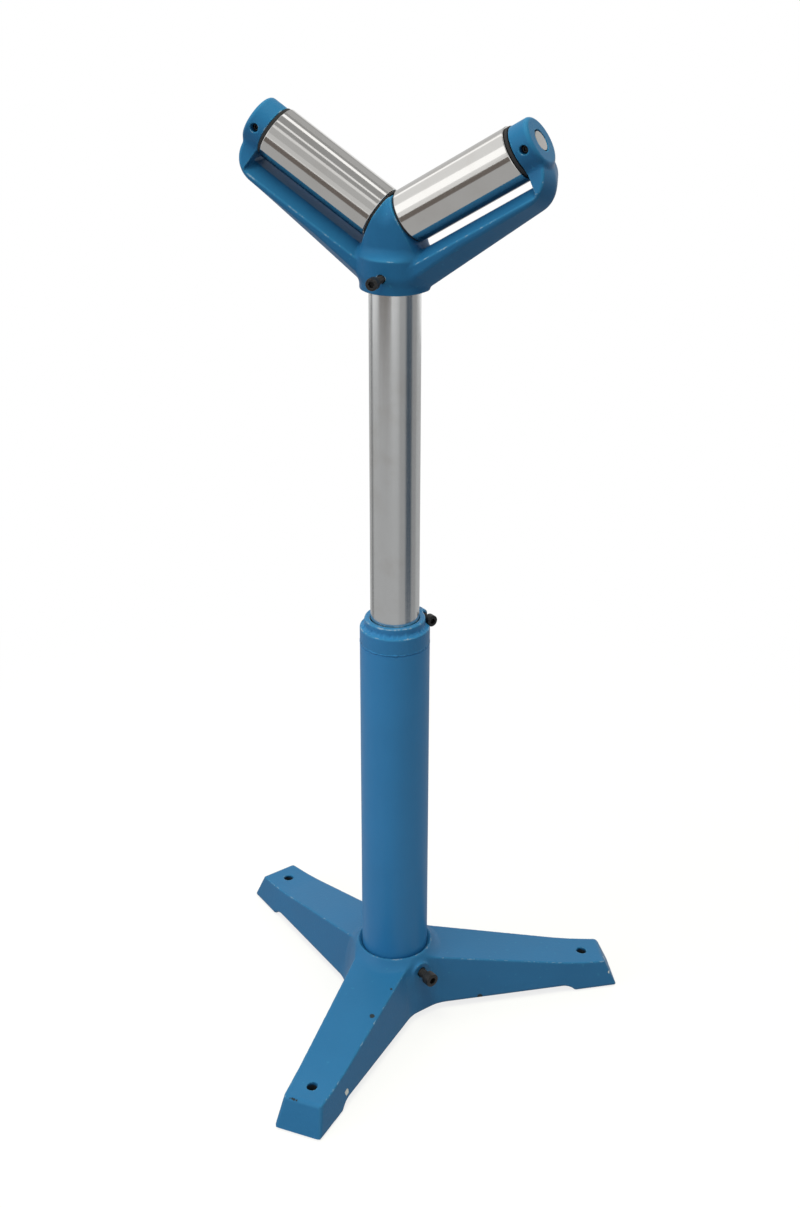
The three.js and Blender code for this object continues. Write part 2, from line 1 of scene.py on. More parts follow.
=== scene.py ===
# %% [markdown]
# # A V-roller stand for long pipe and bar
# Workshops put a stand like this beside a saw to carry the free end of the stock. It has a cast
# three-legged base, a painted steel column, a bright post that slides in it, and a cast fork with
# two ball-bearing rollers in a V. The frame that is loaded here holds every piece at its real place
# and size, so this lesson only makes surfaces: the round cast edges, the screws and the finishes.

# %% Load the frame
import json
import math
import bpy
import numpy as np
from mathutils import Matrix, Vector


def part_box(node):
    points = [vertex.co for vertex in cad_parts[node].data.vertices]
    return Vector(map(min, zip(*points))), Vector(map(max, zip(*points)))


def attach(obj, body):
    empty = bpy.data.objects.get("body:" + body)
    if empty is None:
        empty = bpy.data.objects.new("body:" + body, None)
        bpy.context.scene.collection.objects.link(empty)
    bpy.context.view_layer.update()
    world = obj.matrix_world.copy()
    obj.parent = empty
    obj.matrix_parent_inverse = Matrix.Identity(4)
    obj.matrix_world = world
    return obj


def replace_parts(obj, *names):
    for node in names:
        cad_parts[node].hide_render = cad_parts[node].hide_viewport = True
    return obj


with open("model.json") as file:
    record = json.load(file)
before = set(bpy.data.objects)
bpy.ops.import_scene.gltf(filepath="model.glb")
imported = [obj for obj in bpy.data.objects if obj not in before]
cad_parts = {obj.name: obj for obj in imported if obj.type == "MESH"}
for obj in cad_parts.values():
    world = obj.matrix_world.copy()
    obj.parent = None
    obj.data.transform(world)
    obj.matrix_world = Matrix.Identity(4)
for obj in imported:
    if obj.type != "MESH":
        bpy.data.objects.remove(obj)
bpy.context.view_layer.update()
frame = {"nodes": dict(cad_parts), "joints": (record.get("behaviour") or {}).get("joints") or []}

# %% [markdown]
# ## Millimetres on the column's axis
# Blender works in metres, but castings are drawn in millimetres, and nearly everything here is
# round about the column. So shapes are written in millimetres from the point where the column's
# axis meets the floor, and are moved into the frame at the end, when their mesh is made.

# %% Units and the column's axis
MM = 0.001
tube_low, tube_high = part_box("column_tube")
axis_foot = Vector((0, (tube_low.y + tube_high.y) / 2, 0))
into_frame = Matrix.Translation(axis_foot) @ Matrix.Scale(MM, 4)
joints = {joint["name"]: joint for joint in frame["joints"]}


def span(node, axis):
    """Lowest and highest coordinate of a frame node along x, y or z, in millimetres."""
    return [getattr(corner - axis_foot, axis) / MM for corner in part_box(node)]


def link(thing):
    bpy.context.scene.collection.objects.link(thing)
    return thing


print("column axis at y =", round(axis_foot.y, 4), "m")

# %% [markdown]
# ## The camera
# The photograph looks down at the stand from a standing person's height, a little from the right.
# The camera's place was worked out from known lines: the column is upright, its two diameters are
# known, and the three bolt holes lie on one circle. A small shift takes up the photograph's
# framing, which lets the camera keep its aim on the stand.

# %% Camera
camera_place = Vector((0.6472, -1.4659, 1.2972))
camera_dip = math.radians(24.34)
camera_turn = math.radians(21.95)
camera_roll = math.radians(0.49)

camera = link(bpy.data.objects.new("camera", bpy.data.cameras.new("camera")))
camera.data.lens = 50.71
camera.data.sensor_width = 36
camera.data.shift_x = -0.0206
camera.data.shift_y = -0.0271
turn = Matrix.Rotation(camera_turn, 4, "Z") @ Matrix.Rotation(math.pi / 2 - camera_dip, 4, "X")
camera.matrix_world = Matrix.Translation(camera_place) @ turn @ Matrix.Rotation(camera_roll, 4, "Z")
bpy.context.scene.camera = camera
print("camera at", [round(value, 3) for value in camera_place])

# %% [markdown]
# ## Small helpers for node trees
# A finish is a graph of nodes. A few helpers keep each graph readable: one puts a node down with
# its inputs filled by values or by links, and the others do the same for sums on numbers and on
# vectors, for mixing two colours, for a soft step between two levels and for both ends of a group.

# %% Node helpers
def put(tree, kind, inputs=None, **settings):
    """Adds a node; an input is either a plain value or another node's output to link from."""
    made = tree.nodes.new(kind)
    for name, value in settings.items():
        setattr(made, name, value)
    for name, value in (inputs or {}).items():
        if isinstance(value, bpy.types.NodeSocket):
            tree.links.new(value, made.inputs[name])
        else:
            made.inputs[name].default_value = value
    return made


def reckon(tree, operation, *values):
    inputs = dict(enumerate(values))
    return put(tree, "ShaderNodeMath", inputs, operation=operation).outputs[0]


def reckon_vector(tree, operation, *values):
    inputs = dict(enumerate(values))
    return put(tree, "ShaderNodeVectorMath", inputs, operation=operation).outputs


def mixed(tree, share, first, second):
    inputs = {0: share, 6: first, 7: second}
    return put(tree, "ShaderNodeMix", inputs, data_type="RGBA").outputs[2]


def stepped(tree, value, low, high, to_low=0.0, to_high=1.0):
    inputs = {"Value": value, "From Min": low, "From Max": high, "To Min": to_low, "To Max": to_high}
    made = put(tree, "ShaderNodeMapRange", inputs, interpolation_type="SMOOTHSTEP")
    return made.outputs["Result"]


def noise(tree, vector, scale, detail=2.0, rough=0.5):
    inputs = {"Vector": vector, "Scale": scale, "Detail": detail, "Roughness": rough}
    return put(tree, "ShaderNodeTexNoise", inputs).outputs["Fac"]


def new_group(name, kind, inputs, outputs):
    """A node group with named sockets; gives the tree, its inputs and its outputs."""
    tree = bpy.data.node_groups.new(name, kind)
    for label, socket in inputs.items():
        tree.interface.new_socket(label, in_out="INPUT", socket_type=socket)
    for label, socket in outputs.items():
        tree.interface.new_socket(label, in_out="OUTPUT", socket_type=socket)
    source = tree.nodes.new("NodeGroupInput").outputs
    target = tree.nodes.new("NodeGroupOutput").inputs
    return tree, source, target


def finish_shape(tree, shape, material, target):
    """Ends a geometry tree with real faces that carry their material."""
    real = put(tree, "GeometryNodeRealizeInstances", {"Geometry": shape}).outputs[0]
    finished = put(tree, "GeometryNodeSetMaterial", {"Geometry": real, "Material": material})
    tree.links.new(finished.outputs[0], target)


SHADING, SHAPING = "ShaderNodeTree", "GeometryNodeTree"
FLOAT, VECTOR, COUNT = "NodeSocketFloat", "NodeSocketVector", "NodeSocketInt"
GEOMETRY, MATERIAL = "NodeSocketGeometry", "NodeSocketMaterial"
print("node helpers ready")

# %% [markdown]
# ## Effects that several finishes share
# Sprayed enamel is never quite flat: it has a faint orange peel, cloudy patches where the coat is
# thicker, and specks of dust. Turned steel has rings left by the tool, and lines along its length
# from handling. Each effect is a node group, so that every finish can use it at its own strength.
# The groups only put out masks and heights. The shaders stay in the materials.

# %% Paint film group
film_inputs = {"Vector": VECTOR, "Peel Scale": FLOAT, "Cloud Scale": FLOAT}
film_outputs = {"Peel": FLOAT, "Cloud": FLOAT, "Specks": FLOAT}
paint_film, film_in, film_out = new_group("paint_film", SHADING, film_inputs, film_outputs)
peel = noise(paint_film, film_in["Vector"], film_in["Peel Scale"], 1.0)
paint_film.links.new(peel, film_out["Peel"])
cloud = noise(paint_film, film_in["Vector"], film_in["Cloud Scale"], 3.0)
paint_film.links.new(stepped(paint_film, cloud, 0.3, 0.7), film_out["Cloud"])
speck_size = reckon(paint_film, "MULTIPLY", film_in["Peel Scale"], 0.7)
dust = noise(paint_film, film_in["Vector"], speck_size, 0.0)
paint_film.links.new(stepped(paint_film, dust, 0.79, 0.84), film_out["Specks"])
print("group:", paint_film.name)

# %% Turning marks group
marks_inputs = {"Vector": VECTOR, "Ring Scale": FLOAT, "Line Scale": FLOAT}
marks_outputs = {"Rings": FLOAT, "Lines": FLOAT}
turning_marks, marks_in, marks_out = new_group("turning_marks", SHADING, marks_inputs, marks_outputs)


def squeezed(tree, vector, factors):
    """Coordinates that run faster along some axes than others, which draws a noise into lines."""
    return reckon_vector(tree, "MULTIPLY", vector, factors)[0]


ring_way = squeezed(turning_marks, marks_in["Vector"], (0.02, 0.02, 1.0))
rings = noise(turning_marks, ring_way, marks_in["Ring Scale"], 4.0, 0.7)
turning_marks.links.new(rings, marks_out["Rings"])
line_way = squeezed(turning_marks, marks_in["Vector"], (1.0, 1.0, 0.012))
lines = noise(turning_marks, line_way, marks_in["Line Scale"], 4.0, 0.6)
turning_marks.links.new(lines, marks_out["Lines"])
print("group:", turning_marks.name)

# %% Rubbed edges group
rub_inputs = {"Vector": VECTOR, "Edge": FLOAT, "Grain Scale": FLOAT, "Reach": FLOAT}
rubbed_edges, rub_in, rub_out = new_group("rubbed_edges", SHADING, rub_inputs, {"Mask": FLOAT})
grain = noise(rubbed_edges, rub_in["Vector"], rub_in["Grain Scale"], 5.0, 0.65)
ragged = reckon(rubbed_edges, "MULTIPLY_ADD", rub_in["Edge"], rub_in["Reach"], grain)
rubbed_edges.links.new(stepped(rubbed_edges, ragged, 0.93, 1.08), rub_out["Mask"])
print("group:", rubbed_edges.name)

# %% [markdown]
# ## Blue enamel
# The castings and the column share one medium blue enamel, but each piece gets its own lighter or
# darker copy of it, as painted light and painted shade for how the lamps fall on it: the fork is
# deeper, the column and the collar paler. On the rough castings it lies thicker, with a coarser
# peel, and knocks have chipped it here and there; on the smooth column it is thin. Convex edges are
# paler, partly from thin paint and partly as a painted highlight, and dark patches are painted
# shade in dents, pits and the bolt holes. A chip could be a picture painted on the surface, but a
# ball around a point in space, with a noise that frays its rim, gives the same ragged patch and
# needs no picture at all.

# %% Enamel
PAINT = (0.017, 0.126, 0.298, 1)
# Pale blue for dust specks, and for convex edges, where it is partly a painted highlight.
PALE_DUST_AND_EDGE_HIGHLIGHT = (0.030, 0.190, 0.360, 1)
PAINT_DEEP = (0.016, 0.119, 0.283, 1)
PRIMER = (0.62, 0.64, 0.64, 1)
# Dark blue-grey painted into dents, pits and bolt holes as painted shade.
PAINTED_HOLLOW_SHADE = (0.022, 0.032, 0.040, 1)


def new_material(name):
    material = bpy.data.materials.new(name)
    material.use_nodes = True
    tree = material.node_tree
    return material, tree, tree.nodes["Principled BSDF"]


def object_place(tree):
    return put(tree, "ShaderNodeTexCoord").outputs["Object"]


def bump(tree, shader, height, depth):
    made = put(tree, "ShaderNodeBump", {"Height": height, "Strength": 1.0, "Distance": depth})
    tree.links.new(made.outputs["Normal"], shader.inputs["Normal"])


def fill(tree, shader, links=None, **values):
    for label, value in values.items():
        shader.inputs[label.replace("_", " ")].default_value = value
    for label, socket in (links or {}).items():
        tree.links.new(socket, shader.inputs[label])


def spots(tree, place, chips, fray):
    """Mask of ragged round patches; each patch is a point and a radius in metres."""
    jitter = put(tree, "ShaderNodeTexNoise", {"Vector": place, "Scale": 260.0, "Detail": 4.0})
    offset = reckon_vector(tree, "SUBTRACT", jitter.outputs["Color"], (0.5, 0.5, 0.5))[0]
    frayed = reckon_vector(tree, "MULTIPLY_ADD", offset, (fray, fray, fray), place)[0]
    mask = 0.0
    for centre, radius in chips:
        away = reckon_vector(tree, "DISTANCE", frayed, centre)["Value"]
        patch = stepped(tree, away, radius * 0.85, radius * 1.1, 1.0, 0.0)
        mask = reckon(tree, "MAXIMUM", mask, patch)
    return mask


# A colour scaled up as painted light, or down as painted shade, for a whole piece.
def with_painted_light(colour, painted_light_level):
    return (*(painted_light_level * value for value in colour[:3]), 1)


def enamel(name, painted_light_level, gloss, peel_scale, peel_depth, edge_wear_and_highlight, hollow_shade_spots=(), pale_chips=()):
    """Blue enamel. Its level above 1 is painted light and below 1 painted shade; gloss is its shine.
    The edge share thins the paint on edges, partly as a painted highlight, and rubs it to primer.
    """
    material, tree, shader = new_material(name)
    place = object_place(tree)
    film_values = {"Vector": place, "Peel Scale": peel_scale, "Cloud Scale": 14.0}
    film = put(tree, "ShaderNodeGroup", film_values, node_tree=paint_film)
    edge = put(tree, "ShaderNodeAttribute", attribute_name="edge").outputs["Fac"]
    # The cloudy coat, scaled for the piece as painted light or painted shade.
    colour = mixed(tree, film.outputs["Cloud"], with_painted_light(PAINT_DEEP, painted_light_level), with_painted_light(PAINT, painted_light_level))
    # Convex edges go paler: partly thin paint, partly a painted highlight.
    thin_paint_and_highlight = reckon(tree, "MULTIPLY", stepped(tree, edge, 0.1, 0.9), edge_wear_and_highlight)
    colour = mixed(tree, thin_paint_and_highlight, colour, PALE_DUST_AND_EDGE_HIGHLIGHT)
    rub_values = {"Vector": place, "Edge": edge, "Grain Scale": 90.0, "Reach": 0.45}
    rubbed = put(tree, "ShaderNodeGroup", rub_values, node_tree=rubbed_edges).outputs["Mask"]
    colour = mixed(tree, reckon(tree, "MULTIPLY", rubbed, edge_wear_and_highlight), colour, PRIMER)
    dusty = reckon(tree, "MULTIPLY", film.outputs["Specks"], 0.3)
    colour = mixed(tree, dusty, colour, PALE_DUST_AND_EDGE_HIGHLIGHT)
    # Dark patches are painted shade in dents and holes; pale patches are chips down to the primer.
    hollow_shade = spots(tree, place, hollow_shade_spots, 0.003)
    pale = spots(tree, place, pale_chips, 0.006)
    colour = mixed(tree, hollow_shade, colour, PAINTED_HOLLOW_SHADE)
    colour = mixed(tree, pale, colour, PRIMER)
    dents_and_chips = reckon(tree, "MAXIMUM", hollow_shade, pale)
    roughness = reckon(tree, "MULTIPLY_ADD", film.outputs["Cloud"], 0.08, 0.36)
    roughness = reckon(tree, "MULTIPLY_ADD", dents_and_chips, 0.35, roughness)
    height = reckon(tree, "MULTIPLY_ADD", dents_and_chips, -3.0, film.outputs["Peel"])
    bump(tree, shader, height, peel_depth)
    fill(tree, shader, {"Base Color": colour, "Roughness": roughness}, Specular_IOR_Level=gloss)
    return material


print("enamel colours and recipe ready")

# %% [markdown]
# ## Steel, black oxide, rubber and nylon
# The rollers are ground and polished, the post is a drawn tube with a satin polish, and the screws
# are black-oxided. Polished metal has almost no colour of its own: what one sees is the room in it.
# So the steels get fine marks in roughness and height, and the studio gets something to reflect.
# Turned pieces carry an attribute with each point's place on the lathe, and their marks follow it.

# %% Metal finishes
TARNISH = (0.50, 0.47, 0.43, 1)


def lathe_place(tree):
    return put(tree, "ShaderNodeAttribute", attribute_name="lathe").outputs["Vector"]


def steel(name, colour, rough, ring_scale, line_scale, ring_share, place_of=lathe_place):
    """Bare steel between two roughness levels; ring_share splits the marks into rings and lines."""
    material, tree, shader = new_material(name)
    place = place_of(tree)
    values = {"Vector": place, "Ring Scale": ring_scale, "Line Scale": line_scale}
    marks = put(tree, "ShaderNodeGroup", values, node_tree=turning_marks)
    shares = {0: ring_share, 2: marks.outputs["Lines"], 3: marks.outputs["Rings"]}
    grain = put(tree, "ShaderNodeMix", shares).outputs[0]
    roughness = stepped(tree, grain, 0.25, 0.75, *rough)
    tarnish = stepped(tree, noise(tree, place, 30.0, 4.0), 0.45, 0.75)
    tint = mixed(tree, reckon(tree, "MULTIPLY", tarnish, 0.25), colour, TARNISH)
    bump(tree, shader, grain, 0.00001)
    fill(tree, shader, {"Base Color": tint, "Roughness": roughness}, Metallic=1.0)
    return material


roller_colour = (0.63, 0.62, 0.60, 1)
post_colour = (0.65, 0.66, 0.66, 1)
axle_colour = (0.42, 0.41, 0.39, 1)
bearing_colour = (0.70, 0.71, 0.72, 1)
ground = {"ring_scale": 900.0, "line_scale": 500.0}
drawn = {"ring_scale": 700.0, "line_scale": 420.0}
cut_off = {"ring_scale": 900.0, "line_scale": 600.0}
roller_steel = steel("roller_steel", roller_colour, (0.06, 0.13), **ground, ring_share=0.8)
post_steel = steel("post_steel", post_colour, (0.16, 0.26), **drawn, ring_share=0.35)
axle_steel = steel("axle_steel", axle_colour, (0.28, 0.45), **cut_off, ring_share=0.5)
bearing_steel = steel(
    "bearing_steel", bearing_colour, (0.12, 0.22), **ground, ring_share=0.5, place_of=object_place
)
print("steels:", roller_steel.name, post_steel.name, axle_steel.name, bearing_steel.name)


# %% Dark and plain finishes
def mottled(name, dark, light, scale, rough, depth, metallic=0.0):
    """A dull surface whose colour, roughness and height follow one fine noise."""
    material, tree, shader = new_material(name)
    grain = noise(tree, object_place(tree), scale, 4.0, 0.6)
    spread = stepped(tree, grain, 0.3, 0.7)
    colour = mixed(tree, spread, dark, light)
    roughness = stepped(tree, grain, 0.3, 0.7, *rough)
    bump(tree, shader, grain, depth)
    fill(tree, shader, {"Base Color": colour, "Roughness": roughness}, Metallic=metallic)
    return material


oxide_tones = ((0.010, 0.010, 0.011, 1), (0.030, 0.030, 0.032, 1))
rubber_tones = ((0.006, 0.006, 0.007, 1), (0.016, 0.016, 0.017, 1))
nylon_tones = ((0.60, 0.56, 0.47, 1), (0.72, 0.69, 0.60, 1))
black_oxide = mottled(
    "black_oxide", *oxide_tones, scale=700, rough=(0.32, 0.5), depth=0.00003, metallic=0.4
)
seal_rubber = mottled("seal_rubber", *rubber_tones, scale=900, rough=(0.55, 0.75), depth=0.00004)
guide_nylon = mottled("guide_nylon", *nylon_tones, scale=400, rough=(0.45, 0.6), depth=0.00003)
print("dull finishes:", black_oxide.name, seal_rubber.name, guide_nylon.name)

# %% [markdown]
# ## Castings as distance fields
# A sand casting has no sharp corner: every edge is rounded and every inner corner has a fillet, so
# that the iron flows. Bevelling a boolean mesh breaks down where several fillets meet. A distance
# field doesn't: it is a formula that says how far a point is from the surface, negative inside the
# metal, and two such formulas join with a true round fillet. The field is sampled on a grid, a quad
# net is stretched where it changes sign, and the net's points slide onto the exact surface.

# %% Joining and cutting fields
def union(first, second, fillet):
    """Both pieces, with a round fillet in the corner between them."""
    nook = np.hypot(np.maximum(fillet - first, 0), np.maximum(fillet - second, 0))
    return np.maximum(fillet, np.minimum(first, second)) - nook


def common(first, second, edge):
    """What lies in both, with a round edge where their faces meet."""
    corner = np.hypot(np.maximum(edge + first, 0), np.maximum(edge + second, 0))
    return np.minimum(-edge, np.maximum(first, second)) + corner


def cut(body, tool, edge):
    return common(body, -tool, edge)


def between(value, low, high):
    return np.maximum(low - value, value - high)


print("fields can be joined and cut")


# %% From a field to a mesh
def quads_across(metal, cell, axis):
    """A quad round each grid edge along one axis that runs from metal to air or back."""
    near = np.delete(metal, -1, axis)
    far = np.delete(metal, 0, axis)
    edges = np.argwhere(near != far)
    one = np.eye(3, dtype=int)[(axis + 1) % 3]
    two = np.eye(3, dtype=int)[(axis + 2) % 3]
    ring = np.stack([edges - one - two, edges - two, edges, edges - one], axis=1)
    quads = cell[tuple(np.moveaxis(ring, -1, 0))]
    entering = ~near[tuple(edges.T)]
    quads[entering] = quads[entering, ::-1]
    return quads


def net_over(field, low, high, step):
    """Points and quads of the field's zero surface, as one point for each grid cell it passes."""
    axes = [np.arange(a - 2 * step, b + 3 * step, step) for a, b in zip(low, high)]
    metal = field(*np.meshgrid(*axes, indexing="ij")) < 0
    wide, deep, tall = (count - 1 for count in metal.shape)
    corners = sum(
        metal[i:wide + i, j:deep + j, k:tall + k].astype(int)
        for i in (0, 1) for j in (0, 1) for k in (0, 1)
    )
    passed = (corners > 0) & (corners < 8)
    cell = np.full(passed.shape, -1)
    cell[passed] = np.arange(passed.sum())
    start = np.array([a[0] for a in axes])
    points = start + (np.argwhere(passed) + 0.5) * step
    quads = np.concatenate([quads_across(metal, cell, axis) for axis in range(3)])
    return points, quads


def slope_of(field, points, reach):
    """Gradient of the field, and how much it bends, from its values just beside each point."""
    here = field(*points.T)
    gradient = np.zeros_like(points)
    bend = np.zeros(len(points))
    for axis in range(3):
        offset = np.eye(3)[axis] * reach
        ahead = field(*(points + offset).T)
        behind = field(*(points - offset).T)
        gradient[:, axis] = (ahead - behind) / (2 * reach)
        bend += (ahead + behind - 2 * here) / reach**2
    return here, gradient, bend


def settle(field, points, quads, rounds=4):
    """Evens out the net and slides its points onto the surface, by turns."""
    pairs = np.concatenate([quads[:, [0, 1]], quads[:, [1, 2]], quads[:, [2, 3]], quads[:, [3, 0]]])
    count = np.bincount(pairs.ravel(), minlength=len(points))
    for turn_number in range(rounds + 2):
        if turn_number < rounds:
            total = [
                np.bincount(pairs[:, 0], points[pairs[:, 1], axis], len(points))
                + np.bincount(pairs[:, 1], points[pairs[:, 0], axis], len(points))
                for axis in range(3)
            ]
            points = 0.4 * points + 0.6 * np.stack(total, axis=1) / count[:, None]
        here, gradient, _ = slope_of(field, points, 0.05)
        steep = np.maximum((gradient**2).sum(axis=1), 0.25)
        points = points - gradient * (here / steep)[:, None]
    return points


def cast_piece(name, field, node, step, material, room=(0, 0, 0)):
    """The field's surface as a mesh in the frame, looked for in a node's box with room round it."""
    low, high = np.transpose([span(node, axis) for axis in "xyz"])
    points, quads = net_over(field, low - room, high + room, step)
    points = settle(field, points, quads)
    _, gradient, _ = slope_of(field, points, 0.1)
    _, _, bend = slope_of(field, points, 1.5)
    mesh = bpy.data.meshes.new(name)
    mesh.from_pydata(points.tolist(), [], quads.tolist())
    mesh.transform(into_frame)
    normals = gradient / np.linalg.norm(gradient, axis=1, keepdims=True)
    mesh.normals_split_custom_set_from_vertices(normals.tolist())
    edge = mesh.attributes.new("edge", "FLOAT", "POINT")
    edge.data.foreach_set("value", np.clip(bend * 2, 0, 1))
    mesh.materials.append(material)
    reach = np.round([points.min(0), points.max(0)], 1).tolist()
    print(name, "has", len(quads), "quads and reaches from", *reach)
    return link(bpy.data.objects.new(name, mesh))


print("fields can be meshed")

# %% [markdown]
# ## The base
# The base is a hollow star of three legs. Each leg slopes from the column down to a flat foot with
# a bolt hole, its sides lean in as a casting must to leave its mould, and wide arcs join the legs.
# Because all legs are alike, each point is first folded onto one leg, by its angle about the
# column, and the field is written for that leg and its neighbour alone.

# %% Base casting
leg_reach = 266.0
leg_half = 48.0
tip_half = 27.75
leg_taper = math.atan((leg_half - tip_half) / leg_reach)
leg_draft = 0.19
leg_ridge = 74.0
crotch_foot = 24.0
crotch_fall = 0.25
foot_height = 34.0
foot_start = 223.6
foot_lean = 15.4
pad_start = 214.0
skirt_lift = 7.0
cast_wall = 8.0
socket_radius = 52.0
rim_radius = 43.0
rim_flare = 0.8
socket_top = span("base_casting", "z")[1]
bore_radius = 38.3
bore_floor = 12.0
bore_lip = 3.8
drain_radius = 30.0
bolt_circle = 227.0
bolt_radius = 5.75
clamp_height = joints["base_screw_turn"]["pos_m"][2] / MM
clamp_boss = 12.0
clamp_face = 52.5
clamp_root = 30.0
clamp_hole = 5.3
clamp_way = Vector(joints["base_screw_turn"]["axis"])


def leg_side(along, across):
    edge_line = leg_half - along * math.tan(leg_taper)
    return (across - edge_line) * math.cos(leg_taper)


def leg_walls(along, across, z):
    """Leaning sides of a leg and of its neighbour, with an arc between them, wide at the foot."""
    radius = np.hypot(along, across)
    beside = math.radians(120) - np.arctan2(across, along)
    neighbour = leg_side(radius * np.cos(beside), radius * np.sin(beside))
    crotch = np.clip(crotch_foot - crotch_fall * z, 2, crotch_foot)
    plan = union(leg_side(along, across), neighbour, crotch)
    return (plan + leg_draft * z) / math.hypot(1, leg_draft)


def base_field(x, y, z):
    radius = np.hypot(x, y)
    angle = (np.arctan2(y, x) + math.radians(150)) % math.radians(120) - math.radians(60)
    along = radius * np.cos(angle)
    across = np.abs(radius * np.sin(angle))
    walls = leg_walls(along, across, z)
    fall = (leg_ridge - foot_height) / foot_start
    ridge = (z - leg_ridge + fall * along) / math.hypot(1, fall)
    roof = union(ridge, z - foot_height, 5)
    tip = ((along - leg_reach) * foot_height + z * foot_lean) / math.hypot(foot_height, foot_lean)
    pad = common(-z, (pad_start - along - z) / math.sqrt(2), 1)
    under = union(skirt_lift - z, pad, 5)
    leg = common(common(walls, roof, 1.6), common(tip, under, 1.5), 4)
    hollow_end = pad_start - skirt_lift - cast_wall
    hollow = common(common(walls + cast_wall, ridge + cast_wall, 5), along - hollow_end, 5)
    flare = (radius - rim_radius - rim_flare * (socket_top - z)) / math.hypot(1, rim_flare)
    cone = common(common(flare, radius - socket_radius, 12), z - socket_top, 1.5)
    body = union(cut(leg, hollow, 1.5), common(cone, skirt_lift - z, 2), 10)
    out = x * clamp_way.x + y * clamp_way.y
    beside = x * clamp_way.y - y * clamp_way.x
    off = np.hypot(beside, z - clamp_height)
    arch = np.hypot(beside, np.maximum(z - clamp_height, 0)) - clamp_boss
    boss = common(np.maximum(arch, skirt_lift - z), between(out, clamp_root, clamp_face), 1.5)
    body = union(body, boss, 4)
    lip = (radius - bore_radius + socket_top - bore_lip - z) / math.sqrt(2)
    bore = np.maximum(np.minimum(radius - bore_radius, lip), bore_floor - z)
    body = cut(body, np.minimum(bore, radius - drain_radius), 0.8)
    body = cut(body, np.maximum(off - clamp_hole, -out), 0.8)
    bolt_hole = np.hypot(along - bolt_circle, across) - bolt_radius
    return cut(body, bolt_hole, 1.0)


# Dark spots on the base: painted shade in dents and scuffs, and in each bolt hole below.
base_hollow_shade = [
    ((0.0218, -0.0617, 0.0535), 0.0030),
    ((0.0266, -0.0186, 0.0612), 0.0016),
    ((0.1032, 0.0697, 0.0095), 0.0034),
    ((-0.0150, -0.1962, 0.0328), 0.0013),
    ((-0.0125, -0.1962, 0.0332), 0.0015),
    ((-0.0100, -0.1964, 0.0330), 0.0015),
    ((-0.0070, -0.1966, 0.0328), 0.0012),
]
hole_shade_depth = 7.0
# Each bolt hole gets a dark patch inside it: painted shade.
for leg_angle in (-90, 30, 150):
    leg_way = Vector((math.cos(math.radians(leg_angle)), math.sin(math.radians(leg_angle)), 0))
    hole = axis_foot + leg_way * bolt_circle * MM + Vector((0, 0, foot_height - hole_shade_depth)) * MM
    base_hollow_shade.append((hole, 0.0078))
chips_pale = [
    ((0.0295, -0.1471, 0.0164), 0.0040),
    ((0.0262, -0.1950, 0.0300), 0.0014),
    ((0.2243, 0.1716, 0.0300), 0.0026),
    ((0.2353, 0.1617, 0.0188), 0.0024),
]
base_coat = {"painted_light_level": 1.0, "gloss": 0.25, "peel_scale": 330.0, "peel_depth": 0.00012, "edge_wear_and_highlight": 0.2}
base_enamel = enamel("base_enamel", **base_coat, hollow_shade_spots=base_hollow_shade, pale_chips=chips_pale)
base = cast_piece("base_cast_star", base_field, "base_casting", 1.9, base_enamel)
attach(base, "base")
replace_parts(base, "base_casting")

# %% [markdown]
# ## The fork
# The fork is the hardest piece: a hub on the post, a fin between the rollers' inner ends, and two
# arms that pass under the rollers and turn up into round lugs. The rollers' axes cross on the
# column's axis. Along each axis there is a coordinate t, and square to it a depth h below the axis,
# so the arm is drawn in t and h once, and the mirror plane of the V gives the other arm.

# %% Fork casting
vee_axis = Vector(joints["right_roller_spin"]["axis"])
crossing = joints["right_roller_spin"]["pos_m"][2] / MM
hub_bottom = span("head_casting", "z")[0]
hub_top = hub_bottom + 34.0
hub_radius = 35.5
hub_bore = 26.9
hub_bore_top = hub_bottom + 38.0
fin_face = 16.8
fin_half = 28.3
fin_bulge = 0.004
fin_foot = 34.0
fin_bottom = hub_bottom + 17.0
arm_inner = 34.0
arm_root = 69.5
arm_fall = 0.085
arm_half = 25.5
arm_flat = 10.0
arm_shoulder = 0.55
belly_start = 60.0
belly_slopes = (0.72, 0.46)
keel_round = 4.0
arm_corner = 33.0
lug_inner = 152.6
lug_outer = 166.5
lug_lean = 0.17
neck_half = 17.0
neck_start = 18.0
neck_flare = 0.38
boss_face = 173.6
boss_radius = 25.0
axle_hole = 10.9
axle_seat = 7.7
grub_place = 163.1
screw_hole = 4.3
pinch_height = joints["head_screw_turn"]["pos_m"][2] / MM
fold_round = 3.0


def vee_place(x, z):
    """Distance t along a roller's axis, and depth h below it, for the side that x lies on."""
    rise = z - crossing
    return x * vee_axis.x + rise * vee_axis.z, x * vee_axis.z - rise * vee_axis.x


